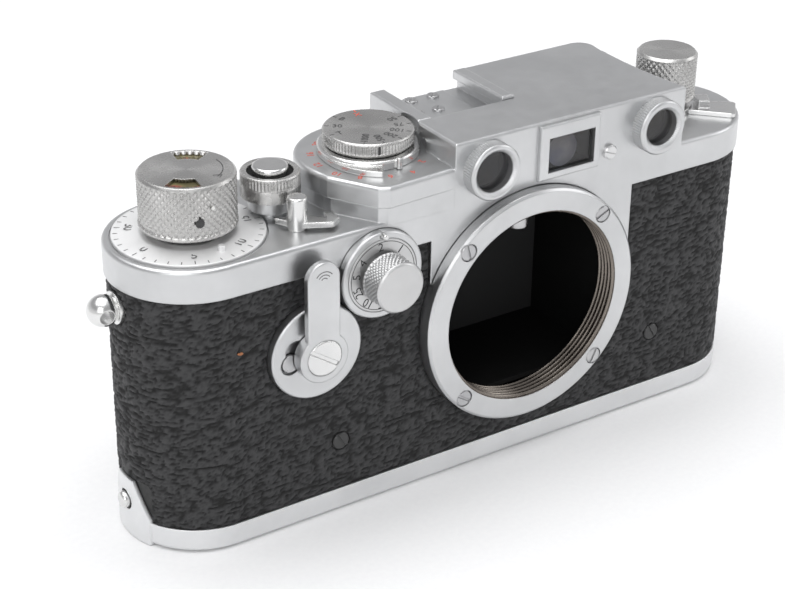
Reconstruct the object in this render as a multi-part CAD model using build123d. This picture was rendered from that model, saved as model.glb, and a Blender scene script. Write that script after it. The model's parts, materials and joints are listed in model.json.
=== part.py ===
"""Screw-mount rangefinder camera body, as separate pieces in one frame.

Millimetres. +X is to the right seen from the front, +Y to the back, +Z up.
The origin is the centre of the base plate's underside.
"""
import os
from math import cos, pi, radians, sin

from build123d import *

# ---- Driving dimensions: body ----
BODY_LENGTH = 136.4
BODY_DEPTH = 29.7
END_R = BODY_DEPTH / 2
END_X = BODY_LENGTH / 2 - END_R
LEATHER = 0.7
SHELL_WALL = 1.2
INNER = LEATHER + SHELL_WALL
BASE_Z = 4.8
SKIRT_Z = 51.3
DECK_Z = 57.35
HOUSING_Z = 69.0
COVER_PROUD = 0.3
RUN = 0.05

FRONT_Y = -END_R
SHELL_Y = FRONT_Y + LEATHER
COVER_Y = FRONT_Y - COVER_PROUD

# ---- Driving dimensions: lens mount and film ----
LENS_X = 9.35
LENS_Z = 32.9
FLANGE_Y = -17.8
FLANGE_R = 23.8
THREAD_R = 19.5
SPIGOT_R = 21.0
FLANGE_SCREW = 15.4
FILM_Y = 11.0
GATE_WIDTH = 36.0
GATE_HEIGHT = 24.0

# ---- Driving dimensions: shaft centres on the top ----
WIND_X = -END_X
SPROCKET_X = -37.0
REWIND_X = END_X
MODULE = (SPROCKET_X - WIND_X) / 30
SPEED_X = SPROCKET_X + MODULE * (30 + 45) / 2

# ---- Driving dimensions: housing and its fittings ----
HOUSING_LEFT = -7.8
HOUSING_RIGHT = 45.3
HOUSING_BACK = 14.9
HOUSING_WALL = 1.2
FINDER_Z = 63.0
RF_LEFT_X = -0.8
RF_RIGHT_X = 37.85
RF_LEFT_BORE = 4.0
RF_RIGHT_BORE = 3.7
RF_Y = -18.1
EYEPIECE_X = 31.0
SHOE_LEFT = -7.6
SHOE_RIGHT = 13.9
SHOE_FRONT = -2.7
SHOE_BACK = 13.5
SHOE_FLOOR = 65.8
LIP_Z = 67.9
PLATFORM_Z = 64.4
PLATFORM_R = 13.6

# ---- Driving dimensions: front controls ----
TIMER_X = -37.25
TIMER_Z = 36.4
TIMER_R = 9.2
SLOW_X = -24.0
SLOW_Z = 48.3
SLOW_R = 8.4

BUTTON_X = -42.6
BUTTON_Z = 35.5
BUTTON_R = 1.75
LOCK_Z = 56.05
LOCK_R = 0.55

# ---- Driving dimensions: small fittings ----
RELEASE_NECK = 4.1
RELEASE_FOOT = 2.6
COUNTER_R = 13.5
LEVER_X = -36.5
LEVER_Y = -8.4
SYNC_X = 3.1
SYNC_Z = 61.5
LUG_Z = 46.8
BODY_SCREWS = ((-31.4, 15.0), (42.1, 16.2))
FINDER_SCREW_X = 27.3
FINDER_SCREW_Z = 59.7
SHOE_SCREWS = ((0.0, 11.0), (4.9, 11.0), (-2.3, 5.15), (2.2, 5.15))
ROLLER_FIRST_X = 33.0
ROLLER_SECOND_X = 36.6
ROLLER_Y = 5.5

# ---- Driving dimensions: rangefinder cam follower ----
ARM_X = -15.5
ARM_Y = -10.0
ARM_Z = 49.6
CAM_ROLLER_X = 10.3

# ---- Driving dimensions: base plate and its lock ----
STUD_Z = 7.2
KEY_X = END_X
KEY_R = 9.4
BOW_R = 7.6
BOW_WIDTH = 2.4
BOW_PIVOT_Y = 2.2
TRIPOD_X = -46.0
TRIPOD_R = 3.05

# ---- Driving dimensions: chassis levels ----
PLATE_LOW = 6.2
PLATE_LOW_TOP = 7.7
PLATE_TOP = 52.0
PLATE_TOP_TOP = 53.6
GEAR_LOW = 54.2
GEAR_TOP = 55.8


# ---- Helpers ----
def cyl_z(x, y, z0, z1, r):
    """Cylinder along Z between two heights."""
    return Pos(x, y, (z0 + z1) / 2) * Cylinder(r, z1 - z0)


def cyl_y(x, z, y0, y1, r):
    """Cylinder along Y between two depths."""
    return Pos(x, (y0 + y1) / 2, z) * Rot(90, 0, 0) * Cylinder(r, y1 - y0)


def cyl_x(y, z, x0, x1, r):
    """Cylinder along X between two stations."""
    return Pos((x0 + x1) / 2, y, z) * Rot(0, 90, 0) * Cylinder(r, abs(x1 - x0))


def block(x0, x1, y0, y1, z0, z1):
    """Box between two corners."""
    return Pos((x0 + x1) / 2, (y0 + y1) / 2, (z0 + z1) / 2) * Box(x1 - x0, y1 - y0, z1 - z0)


def stadium(z0, z1, inset=0.0):
    """Round-ended body outline, drawn in by inset, between two heights."""
    outline = SlotOverall(BODY_LENGTH - 2 * inset, BODY_DEPTH - 2 * inset)
    return Pos(0, 0, z0) * extrude(outline, z1 - z0)


def prism_z(points, z0, z1):
    """Straight prism on a polygon of (x, y) points."""
    return Pos(0, 0, z0) * extrude(make_face(Polyline(*points, close=True)), z1 - z0)


def top_edges(shape):
    """Edges that lie in the highest plane of a shape."""
    return shape.edges().group_by(Axis.Z)[-1]


def low_edges(shape):
    """Edges that lie in the lowest plane of a shape."""
    return shape.edges().group_by(Axis.Z)[0]


def front_edges(shape):
    """Edges that lie in the foremost plane of a shape."""
    return shape.edges().group_by(Axis.Y)[0]


def slotted_screw_y(x, z, face_y, head_r, head_h, shank_r, shank_l, turn=0):
    """Slotted screw whose head stands in front of face_y."""
    head = cyl_y(x, z, face_y - head_h, face_y, head_r)
    head = chamfer(front_edges(head), head_h * 0.3)
    shank = cyl_y(x, z, face_y, face_y + shank_l, shank_r)
    slot_w = head_r * 0.28
    slot = Pos(x, face_y - head_h, z) * Rot(0, turn, 0) * Box(head_r * 2.2, head_h * 0.9, slot_w)
    return head + shank - slot


def slotted_screw_z(x, y, face_z, head_r, head_h, shank_r, shank_l, turn=0):
    """Slotted screw whose head stands on face_z."""
    head = cyl_z(x, y, face_z, face_z + head_h, head_r)
    head = chamfer(top_edges(head), head_h * 0.3)
    shank = cyl_z(x, y, face_z - shank_l, face_z, shank_r)
    slot = Pos(x, y, face_z + head_h) * Rot(0, 0, turn) * Box(head_r * 2.2, head_r * 0.28, head_h * 0.9)
    return head + shank - slot


def spur_gear(x, z0, z1, teeth, turn):
    """Spur gear on the body's long axis, its flanks a little slimmer than half the pitch."""
    pitch_r = MODULE * teeth / 2
    root_r = pitch_r - 1.2 * MODULE
    tip_r = pitch_r + 0.9 * MODULE
    tooth = ((root_r, -0.37), (tip_r, -0.09), (tip_r, 0.09), (root_r, 0.37))
    points = []
    for number in range(teeth):
        for radius, share in tooth:
            angle = radians(turn) + 2 * pi * (number + share) / teeth
            points.append((x + radius * cos(angle), radius * sin(angle)))
    return prism_z(points, z0, z1)


def end_sector(x, r0, r1, y0, y1, z0, z1, side):
    """Part of an upright ring about an end centre, kept between two depths on one side of it."""
    ring = cyl_z(x, 0, z0, z1, r1) - cyl_z(x, 0, z0 - 1, z1 + 1, r0)
    keep = block(min(x, x + side * r1), max(x, x + side * r1), y0, y1, z0, z1)
    return ring & keep


# ---- Shell, chassis and lens mount ----
def apron(y0, y1, margin=0.0):
    """Front tongue of the top cover that runs down behind the lens flange."""
    plate = block(-12.6 - margin, 33.6 + margin, y0, y1, 36, SKIRT_Z + 1)
    return plate - cyl_y(LENS_X, LENS_Z, y0 - 1, y1 + 1, FLANGE_R + 0.15 - margin)


def ear(r0, r1, half_width, top):
    """Upright tab curved round the left end of the body."""
    ring = cyl_z(WIND_X, 0, 0, top, r1) - cyl_z(WIND_X, 0, -1, top + 1, r0)
    outline = make_face(Polyline((-half_width, 0), (-half_width, 5.5), (-2.6, top), (2.6, top),
                                 (half_width, 5.5), (half_width, 0), close=True))
    tab = Pos(WIND_X - 30, 0, 0) * extrude(Plane.YZ * outline, 28)
    return ring & tab


def make_shell():
    shell = stadium(2.6, 56.2, LEATHER) - stadium(0, 60, INNER)
    shell -= cyl_y(LENS_X, LENS_Z, -16, -10, SPIGOT_R + RUN)
    shell -= cyl_y(TIMER_X, TIMER_Z, -16, -10, 2.05)
    shell -= cyl_y(SLOW_X, SLOW_Z, -16, -10, 2.05)
    shell -= cyl_y(BUTTON_X, BUTTON_Z, -16, -10, 0.9)
    shell -= cyl_y(SLOW_X, LOCK_Z, -16, -10, LOCK_R + RUN)
    for x, z in BODY_SCREWS:
        shell -= cyl_y(x, z, -16, -10, 0.8)
    return shell


def make_leather():
    skin = stadium(BASE_Z + 0.15, SKIRT_Z - 0.1) - stadium(0, 60, LEATHER)
    skin -= cyl_y(LENS_X, LENS_Z, -16, -10, FLANGE_R + 0.15)
    skin -= apron(-16, -10, 0.15)
    skin -= cyl_y(TIMER_X, TIMER_Z, -16, -10, TIMER_R + 0.1)
    skin -= cyl_y(SLOW_X, SLOW_Z, -16, -10, SLOW_R + 0.1)
    for x, z in BODY_SCREWS:
        skin -= cyl_y(x, z, -16, -10, 1.9)
    skin -= ear(10, 20, 6.8, 12.4)
    for side in (-1, 1):
        skin -= cyl_x(0, LUG_Z, side * 60, side * 75, 3.1)
    return skin


def make_chassis():
    """Top and bottom plates joined by the chamber walls and the shutter partition."""
    top = stadium(PLATE_TOP, PLATE_TOP_TOP, INNER + 0.1)
    bottom = stadium(PLATE_LOW, PLATE_LOW_TOP, INNER + 0.1)
    bottom &= block(-43, 39.85, -20, 20, 0, 20)
    bottom -= cyl_z(WIND_X, 0, 0, 20, 12.2)
    frame = top + bottom
    frame += end_sector(REWIND_X, 12.7, 13.5, -12.0, 9.0, PLATE_LOW, PLATE_TOP, -1)
    frame += end_sector(WIND_X, 12.3, 13.1, -12.0, -7.0, PLATE_LOW, PLATE_TOP, 1)
    frame += block(-30.4, -29.4, -12.75, 8.0, PLATE_LOW, PLATE_TOP)
    frame -= cyl_z(WIND_X, 0, 0, 60, 2.0 + RUN)
    frame -= cyl_z(SPROCKET_X, 0, 0, 60, 2.0 + RUN)
    frame -= cyl_z(SPEED_X, 0, 0, 60, 1.5 + RUN)
    frame -= cyl_z(REWIND_X, 0, 50, 60, 2.0 + RUN)
    for x in (ROLLER_FIRST_X, ROLLER_SECOND_X):
        frame -= cyl_z(x, ROLLER_Y, 0, 60, 0.8 + RUN)
    return frame + cyl_z(ARM_X, ARM_Y, ARM_Z - 1.4, PLATE_TOP + 0.5, 0.8)


def make_throat():
    """Dark open-ended box between the lens flange and the shutter."""
    outer = block(LENS_X - 20.6, LENS_X + 20.6, -12.9, 8.3, LENS_Z - 18.6, LENS_Z + 18.6)
    inner = block(LENS_X - 19.6, LENS_X + 19.6, -13.9, 9.3, LENS_Z - 17.6, LENS_Z + 17.6)
    cam_slot = block(-13, 14, -13.5, -5.0, 46.5, 52)
    return outer - inner - cam_slot


def make_flange():
    ring = cyl_y(LENS_X, LENS_Z, FLANGE_Y, SHELL_Y, FLANGE_R)
    ring = chamfer(front_edges(ring), 0.5)
    ring += cyl_y(LENS_X, LENS_Z, SHELL_Y, SHELL_Y + 1.2, SPIGOT_R)
    ring -= cyl_y(LENS_X, LENS_Z, FLANGE_Y - 1, 0, THREAD_R)
    for x, z in flange_screw_places():
        ring -= cyl_y(x, z, FLANGE_Y - 1, FLANGE_Y + 0.9, 1.75)
        ring -= cyl_y(x, z, FLANGE_Y, 0, 0.9)
    return ring


def flange_screw_places():
    """Four screws on the flange's diagonals."""
    return [(LENS_X + sx * FLANGE_SCREW, LENS_Z + sz * FLANGE_SCREW) for sx in (-1, 1) for sz in (-1, 1)]


def make_flange_screws():
    screws = []
    for number, (x, z) in enumerate(flange_screw_places()):
        screws.append(slotted_screw_y(x, z, FLANGE_Y + 0.9, 1.7, 0.85, 0.9, 2.4, 35 + 40 * number))
    return Compound(children=screws)


def make_body_screws():
    """Two flat screws sunk in the leather and a domed one on the housing's front."""
    screws = [slotted_screw_y(x, z, SHELL_Y, 1.7, 0.6, 0.8, 1.0, 60) for x, z in BODY_SCREWS]
    screws.append(slotted_screw_y(FINDER_SCREW_X, FINDER_SCREW_Z, COVER_Y, 1.45, 0.8, 0.8, 1.2, 20))
    return Compound(children=screws)


# ---- Shutter and film path ----
def make_film_gate():
    plate = block(-14, 33, 10.0, 10.8, PLATE_LOW_TOP, PLATE_TOP)
    for z in (LENS_Z - 15.5, LENS_Z + 13.5):
        plate += block(-14, 33, 10.8, FILM_Y, z, z + 2)
    return plate - block(LENS_X - GATE_WIDTH / 2, LENS_X + GATE_WIDTH / 2, 9, 12,
                         LENS_Z - GATE_HEIGHT / 2, LENS_Z + GATE_HEIGHT / 2)


def make_pressure_plate():
    """Film pressure plate with its leaf spring against the shell's back."""
    plate = block(-14, 33, 11.3, 12.1, 17, 49)
    plate = fillet(plate.edges().filter_by(Axis.Y), 2)
    return plate + block(-6, 25, 12.1, 12.9, 30, 36)


def make_curtains():
    """Flat stretches of the two shutter curtains, the first across the gate."""
    first = block(-11, 31.0, 8.6, 8.8, 11, 49)
    second = block(-13, -9.5, 9.3, 9.5, 11, 49)
    return Compound(children=[first, second])


def make_curtain_roller(x):
    barrel = cyl_z(x, ROLLER_Y, 9.0, 51.0, 1.5)
    return barrel + cyl_z(x, ROLLER_Y, PLATE_LOW, PLATE_TOP_TOP, 0.8)


def make_shutter_drum():
    drum = cyl_z(SPEED_X, 0, 9.0, 51.0, 4.9)
    drum += cyl_z(SPEED_X, 0, PLATE_LOW, 60.5, 1.5)
    drum += cyl_z(SPEED_X, 0, 60.5, 67.4, 1.2)
    return drum + spur_gear(SPEED_X, GEAR_LOW, GEAR_TOP, 45, 4)


def make_sprocket():
    shaft = cyl_z(SPROCKET_X, 0, PLATE_LOW, GEAR_TOP, 2.0)
    for z in (LENS_Z - 15.5, LENS_Z + 12.5):
        shaft += cyl_z(SPROCKET_X, 0, z, z + 3, 5.4)
        for tooth in range(8):
            spike = Pos(5.4, 0, z + 1.5) * Box(1.6, 0.9, 1.4)
            shaft += Pos(SPROCKET_X, 0, 0) * Rot(0, 0, 45 * tooth) * spike
    return shaft + spur_gear(SPROCKET_X, GEAR_LOW, GEAR_TOP, 30, 6)


def make_take_up_spool():
    spool = cyl_z(WIND_X, 0, 9.0, 49.7, 5.5)
    for z in (9.0, 48.5):
        spool += cyl_z(WIND_X, 0, z, z + 1.2, 10.8)
    return spool - cyl_z(WIND_X, 0, 0, 60, 2.0)


def make_wind_shaft():
    return cyl_z(WIND_X, 0, 9.0, 67.4, 2.0) + spur_gear(WIND_X, GEAR_LOW, GEAR_TOP, 30, 0)


def make_slow_governor():
    gears = block(-28.6, -18.6, -12.7, -6.5, 30.0, 50.5)
    return gears - cyl_y(SLOW_X, SLOW_Z, -14, -6, 1.5 + RUN)


def make_timer_movement():
    train = block(-41.3, -31.0, -12.7, -6.9, 27.0, 44.5)
    return train - cyl_y(TIMER_X, TIMER_Z, -14, -6, 1.5 + RUN)


# ---- Top cover ----
def housing_outline(inset=0.0):
    """Plan of the rangefinder housing: square in front, hollowed at the right, rounded behind."""
    left = HOUSING_LEFT + inset
    front = COVER_Y + inset
    back = HOUSING_BACK - inset
    right = HOUSING_RIGHT - inset
    wall = ThreePointArc((right, front), (right - 1.7, 0), (right - 0.9, back))
    rest = Polyline((right - 0.9, back), (left, back), (left, front), (right, front))
    plan = make_face(Curve() + [wall, rest])
    back_right = plan.vertices().sort_by(lambda corner: corner.X + corner.Y)[-1]
    return fillet(back_right, 3.5 - inset)


def platform_outline(inset=0.0):
    """Plan of the step under the speed dial: a round with a blunt corner in front."""
    outline = Pos(SPEED_X, 0) * Circle(PLATFORM_R - inset)
    corner = Polyline((SPEED_X, 6), (-29.9 + inset, -1.5), (-29.1 + inset, -6.3),
                      (-23.8 + inset * 0.6, -14.9 + inset),
                      (-21.9, -15.9 + inset), (HOUSING_LEFT + 0.3, -15.13), (HOUSING_LEFT + 0.3, 6),
                      close=True)
    return outline + make_face(corner)


def make_top_cover():
    deck = stadium(SKIRT_Z, DECK_Z, -COVER_PROUD)
    deck = fillet(top_edges(deck), 0.8)
    housing = Pos(0, 0, SKIRT_Z) * extrude(housing_outline(), HOUSING_Z - SKIRT_Z)
    housing = fillet(top_edges(housing), 0.6)
    band = Pos(0, 0, 60.5) * extrude(platform_outline(), PLATFORM_Z - 60.5)
    band = fillet(top_edges(band), 0.8)
    foot = Pos(0, 0, 56.6) * extrude(platform_outline(0.8), 60.6 - 56.6)
    cover = deck + foot + band + housing + apron(COVER_Y, SHELL_Y - 0.02)
    cover += cyl_z(SPEED_X, 0, PLATFORM_Z - 0.5, PLATFORM_Z + 1.7, 4.9)
    cover -= stadium(0, DECK_Z - 1.0, LEATHER - 0.08)
    cover -= Pos(0, 0, 55) * extrude(housing_outline(HOUSING_WALL), HOUSING_Z - HOUSING_WALL - 55)
    cover -= cyl_z(SPEED_X, 0, 55, PLATFORM_Z - 1.2, 11.6)
    cover += cyl_z(REWIND_X, 0, DECK_Z - 0.5, 59.0, 4.2)
    cover += shoe_recess_walls()
    return cut_cover_holes(cover)


def shoe_recess_walls():
    """Metal round the pocket that the accessory shoe sits in."""
    return block(HOUSING_LEFT + 0.4, SHOE_RIGHT + 1.2, SHOE_FRONT - 1.2, HOUSING_BACK - 0.4,
                 SHOE_FLOOR - 1.8, HOUSING_Z - 0.6)


def cut_cover_holes(cover):
    cover -= block(HOUSING_LEFT - 1, SHOE_RIGHT + 0.1, SHOE_FRONT - 0.1, HOUSING_BACK + 1,
                   SHOE_FLOOR - 0.8, HOUSING_Z + 1)
    cover -= cyl_z(WIND_X, 0, 57.0, 60, COUNTER_R + 0.3)
    cover -= cyl_z(WIND_X, 0, 50, 60, 2.0 + RUN)
    cover -= cyl_z(SPROCKET_X, 0, 50, 60, RELEASE_FOOT)
    cover -= cyl_z(LEVER_X, LEVER_Y, 50, 60, 0.9 + RUN)
    cover -= cyl_z(SPEED_X, 0, 50, 70, 2.2 + RUN)
    cover -= cyl_z(REWIND_X, 0, 50, 60, 2.0 + RUN)
    cover -= block(12.4, 23.0, -20, -10, 59.0, 65.9)
    cover -= cyl_y(RF_LEFT_X, FINDER_Z, -20, -10, 4.6)
    cover -= cyl_y(RF_RIGHT_X, FINDER_Z, -20, -10, 4.6)
    for x in (EYEPIECE_X, RF_RIGHT_X):
        cover -= cyl_y(x, FINDER_Z, 10, 20, 2.7)
    cover -= cyl_y(SYNC_X, SYNC_Z, 10, 20, 3.0)
    cover -= cyl_y(SLOW_X, SLOW_Z, -20, -10, SLOW_R + 0.1)
    cover -= cyl_y(SLOW_X, LOCK_Z, -20, -12, LOCK_R + RUN)
    cover -= cyl_y(LENS_X, LENS_Z, -20, -13, FLANGE_R + 0.15)
    cover -= cyl_z(SPEED_X, 0, PLATFORM_Z, 66.4, 10.35) - cyl_z(SPEED_X, 0, 60, 70, 5.0)
    cover -= cyl_z(SPEED_X, 0, 66.3, 70, 9.4)
    cover -= cyl_y(FINDER_SCREW_X, FINDER_SCREW_Z, -20, -10, 0.8)
    return cover




# ---- Finder windows and optics ----
def make_vf_frame():
    frame = block(10.5, 24.3, -16.1, COVER_Y, 57.6, 68.5)
    frame = chamfer(front_edges(frame), 0.3)
    frame -= block(12.4, 23.0, -20, -10, 59.0, 65.9)
    return frame


def make_vf_tunnel():
    """Dark light tunnel of the viewfinder, wide in front and narrow past the shoe pocket."""
    front = block(11.4, 24.0, -13.8, -4.2, 58.0, 67.0)
    rear = block(15.9, 24.0, -4.2, 12.0, 58.0, 67.0)
    hollow = block(12.4, 23.0, -14.5, -5.2, 59.0, 66.0) + block(16.9, 23.0, -5.3, 12.5, 59.0, 66.0)
    return front + rear - hollow


def make_rf_bezel(x, bore):
    ring = cyl_y(x, FINDER_Z, RF_Y, COVER_Y, 5.4)
    ring = chamfer(front_edges(ring), 0.4)
    ring += cyl_y(x, FINDER_Z, COVER_Y, -13.9, 4.6)
    return ring - cyl_y(x, FINDER_Z, -20, -10, bore)


def make_rf_prism():
    return prism_z(((-5.0, -12.5), (3.4, -12.5), (3.4, -4.9)), 58.6, 63.6)


def make_rf_telescope():
    tube = cyl_y(RF_RIGHT_X, FINDER_Z, -13.4, 12.9, 3.9)
    return tube - cyl_y(RF_RIGHT_X, FINDER_Z, -15, 15, 3.2)


def make_eyepiece_bezel():
    centre = (EYEPIECE_X + RF_RIGHT_X) / 2
    span = RF_RIGHT_X - EYEPIECE_X
    outline = SlotCenterToCenter(span, 7.6)
    bezel = Pos(centre, 16.4, FINDER_Z) * Rot(90, 0, 0) * extrude(outline, 16.4 - HOUSING_BACK)
    for x in (EYEPIECE_X, RF_RIGHT_X):
        bezel -= cyl_y(x, FINDER_Z, 10, 20, 2.7)
    return bezel


def make_finder_glasses():
    """Front window, the two rangefinder windows and the two eyepiece lenses."""
    glasses = [block(12.4, 23.0, -15.2, -14.2, 59.0, 65.9)]
    glasses.append(cyl_y(RF_LEFT_X, FINDER_Z, -16.2, -15.4, RF_LEFT_BORE))
    glasses.append(cyl_y(RF_RIGHT_X, FINDER_Z, -16.2, -15.4, RF_RIGHT_BORE))
    glasses += [cyl_y(x, FINDER_Z, 13.9, 15.6, 2.7) for x in (EYEPIECE_X, RF_RIGHT_X)]
    return Compound(children=glasses)


# ---- Rangefinder cam follower ----
def make_rf_arm():
    arm = cyl_z(ARM_X, ARM_Y, ARM_Z - 0.8, ARM_Z + 0.8, 1.8)
    arm += block(ARM_X, CAM_ROLLER_X, ARM_Y - 0.9, ARM_Y + 0.9, ARM_Z - 0.8, ARM_Z + 0.8)
    arm += cyl_z(CAM_ROLLER_X, ARM_Y, ARM_Z - 0.8, ARM_Z + 0.8, 1.2)
    arm += cyl_z(CAM_ROLLER_X, ARM_Y, ARM_Z - 2.9, ARM_Z, 0.7)
    return arm - cyl_z(ARM_X, ARM_Y, 40, 60, 0.8 + RUN)


def make_cam_roller():
    roller = cyl_z(CAM_ROLLER_X, ARM_Y, ARM_Z - 2.9, ARM_Z - 1.0, 2.1)
    return roller - cyl_z(CAM_ROLLER_X, ARM_Y, 40, 60, 0.7 + RUN)


# ---- Accessory shoe ----
def make_shoe():
    floor = block(SHOE_LEFT, SHOE_RIGHT, SHOE_FRONT, SHOE_BACK, SHOE_FLOOR - 0.8, SHOE_FLOOR)
    shoe = floor
    for outer, inner, lip, top in ((SHOE_LEFT, -6.3, -4.5, 69.1), (SHOE_RIGHT, 12.3, 11.2, 69.7)):
        rail = block(min(outer, lip), max(outer, lip), SHOE_FRONT, SHOE_BACK, LIP_Z, top)
        wall = block(min(outer, inner), max(outer, inner), SHOE_FRONT, SHOE_BACK,
                     SHOE_FLOOR - 0.1, LIP_Z + 0.2)
        shoe += fillet(top_edges(rail), 0.45) + wall
    for x, y in SHOE_SCREWS:
        shoe -= cyl_z(x, y, 60, 70, 0.7)
    return shoe - cyl_z(SPEED_X, 0, 60, 66.4, 10.35) - cyl_z(SPEED_X, 0, 60, 70, 9.4)


def make_shoe_leaf():
    leaf = block(-4.0, 8.4, -1.4, 12.6, SHOE_FLOOR, SHOE_FLOOR + 0.6)
    for x, y in SHOE_SCREWS:
        leaf -= cyl_z(x, y, 60, 70, 0.7)
    return leaf


def make_shoe_screws():
    screws = [slotted_screw_z(x, y, SHOE_FLOOR + 0.6, 1.2, 0.4, 0.7, 1.2, 45) for x, y in SHOE_SCREWS]
    return Compound(children=screws)


# ---- Controls on the top ----
def ring_sector(x, r0, r1, a0, a1, z0, z1):
    """Arc-shaped block between two radii and two angles."""
    ring = cyl_z(x, 0, z0, z1, r1) - cyl_z(x, 0, z0 - 1, z1 + 1, r0)
    reach = 2 * r1
    corners = [(x + reach * cos(radians(a)), reach * sin(radians(a))) for a in (a0, a1)]
    return ring & prism_z([(x, 0)] + corners, z0, z1)


def make_wind_knob():
    """Winding knob with a pocket for the film reminder disc, seen through two windows."""
    knob = cyl_z(WIND_X, 0, 59.4, 69.4, 8.7)
    knob = chamfer(top_edges(knob), 0.4)
    knob = chamfer(low_edges(knob), 0.3)
    knob += cyl_z(WIND_X, 0, 58.4, 59.4, 6.5)
    knob -= cyl_z(WIND_X, 0, 50, 67.4, 2.0)
    knob -= cyl_z(WIND_X, 0, 67.9, 68.7, 7.9)
    for middle in (58, -122):
        knob -= ring_sector(WIND_X, 4.2, 7.6, middle - 25, middle + 25, 68.5, 70)
    return knob


def make_reminder_disc():
    return cyl_z(WIND_X, 0, 67.95, 68.65, 7.85)


def make_counter_dial():
    """Low cone under the winding knob, with a small setting pin."""
    outline = Polyline((2.1, 57.1), (COUNTER_R, 57.1), (COUNTER_R, 57.75), (8.8, 58.15), (2.1, 58.15),
                       close=True)
    profile = make_face(outline)
    dial = Pos(WIND_X, 0, 0) * revolve(Plane.XZ * profile, Axis.Z)
    return dial + cyl_z(WIND_X + 1.0, -10.1, 57.5, 58.9, 0.6)


def make_release_bush():
    bush = cyl_z(SPROCKET_X, 0, 58.4, 64.9, RELEASE_NECK) + cyl_z(SPROCKET_X, 0, 56.35, 58.4, RELEASE_FOOT)
    bush -= cyl_z(SPROCKET_X, 0, 59.2, 70, 3.35)
    return bush - cyl_z(SPROCKET_X, 0, 50, 70, 1.2 + RUN)


def make_release_collar():
    collar = cyl_z(SPROCKET_X, 0, 60.9, 65.5, 5.4)
    collar = chamfer(top_edges(collar), 0.3)
    collar -= cyl_z(SPROCKET_X, 0, 60, 64.9, RELEASE_NECK)
    return collar - cyl_z(SPROCKET_X, 0, 64, 70, 4.2)


def make_release_button():
    button = cyl_z(SPROCKET_X, 0, 62.0, 66.5, 3.25)
    button = fillet(top_edges(button), 0.5)
    return button + cyl_z(SPROCKET_X, 0, 58.5, 62.0, 1.2)


def make_reversing_lever():
    """Flat lever with a hooked end, turned by an upright peg."""
    outline = ((-39.6, -5.9), (-37.2, -9.9), (-31.6, -12.6), (-29.8, -11.6),
               (-29.4, -8.6), (-31.0, -8.2), (-31.6, -10.4), (-35.0, -7.0))
    plate = prism_z(outline, 58.0, 59.0)
    peg = cyl_z(LEVER_X, LEVER_Y, 57.4, 63.5, 1.8)
    peg = fillet(top_edges(peg), 0.4)
    return plate + peg + cyl_z(LEVER_X, LEVER_Y, 56.0, 57.4, 0.9)


def make_sync_ring():
    """Contact setting ring round the speed dial's foot: its rim swells into a finger tab."""
    rim = []
    for step in range(25):
        angle = radians(170 + 80 * step / 24)
        radius = 9.4 + 2.9 * (step / 24) ** 1.6
        rim.append((SPEED_X + radius * cos(angle), radius * sin(angle)))
    tab_foot = (SPEED_X + 9.4 * cos(radians(254)), 9.4 * sin(radians(254)))
    tab = prism_z(rim + [tab_foot, (SPEED_X, 0)], PLATFORM_Z + 0.05, 65.5)
    ring = cyl_z(SPEED_X, 0, PLATFORM_Z + 0.05, 66.1, 9.4)
    ring = chamfer(top_edges(ring), 0.3)
    post = Pos(SPEED_X, 0, 0) * Rot(0, 0, -88) * cyl_z(9.8, 0, PLATFORM_Z + 0.1, 66.6, 0.55)
    return ring + tab + post - cyl_z(SPEED_X, 0, 60, 70, 4.9 + RUN)


def make_speed_sleeve():
    """Sleeve that the speed dial rides up and turns with."""
    sleeve = cyl_z(SPEED_X, 0, 61.0, 67.4, 2.2)
    return sleeve - cyl_z(SPEED_X, 0, 60, 70, 1.2 + RUN)


def make_speed_dial():
    profile = make_face(Polyline((2.25, 66.2), (7.9, 66.2), (8.4, 66.9), (8.4, 68.7), (8.1, 69.0), (0, 69.0),
                                 (0, 67.7), (2.25, 67.7), close=True))
    return Pos(SPEED_X, 0, 0) * revolve(Plane.XZ * profile, Axis.Z)


def make_rewind_shaft():
    """Rewind shaft with the cross blade that turns the cassette's spool."""
    shaft = cyl_z(REWIND_X, 0, 46.0, 68.0, 2.0)
    return shaft + block(REWIND_X - 3.0, REWIND_X + 3.0, -0.6, 0.6, 43.0, 46.0)


def make_rewind_knob():
    knob = cyl_z(REWIND_X, 0, 60.2, 69.8, 6.1)
    knob = chamfer(top_edges(knob), 0.4)
    knob += cyl_z(REWIND_X, 0, 59.2, 60.2, 4.8)
    return knob - cyl_z(REWIND_X, 0, 50, 68.4, 2.0 + RUN)


def make_dioptre_lever():
    """Ring round the rewind bush with an arm that points to the front right."""
    lever = cyl_z(REWIND_X, 0, DECK_Z + 0.05, 58.6, 5.6)
    lever += prism_z(((REWIND_X + 4.6, -1.0), (66.0, -6.6), (66.0, -7.4), (62.4, -11.4), (61.6, -11.2),
                      (REWIND_X + 2.0, -4.8)), DECK_Z + 0.05, 58.3)
    lever += prism_z(((59.4, -2.2), (61.6, -3.6), (59.8, -6.6), (57.9, -5.4)), 58.3, 59.8)
    return lever - cyl_z(REWIND_X, 0, 50, 70, 4.2 + RUN)


# ---- Controls on the front ----
def make_slow_ring():
    ring = cyl_y(SLOW_X, SLOW_Z, -16.84, SHELL_Y, SLOW_R)
    ring = chamfer(front_edges(ring), 0.3)
    ring -= cyl_y(SLOW_X, SLOW_Z, -20, -15.6, 7.15)
    ring -= cyl_y(SLOW_X, LOCK_Z, -20, -10, LOCK_R + RUN)
    return ring - cyl_y(SLOW_X, SLOW_Z, -20, -10, 1.5 + RUN)


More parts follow.
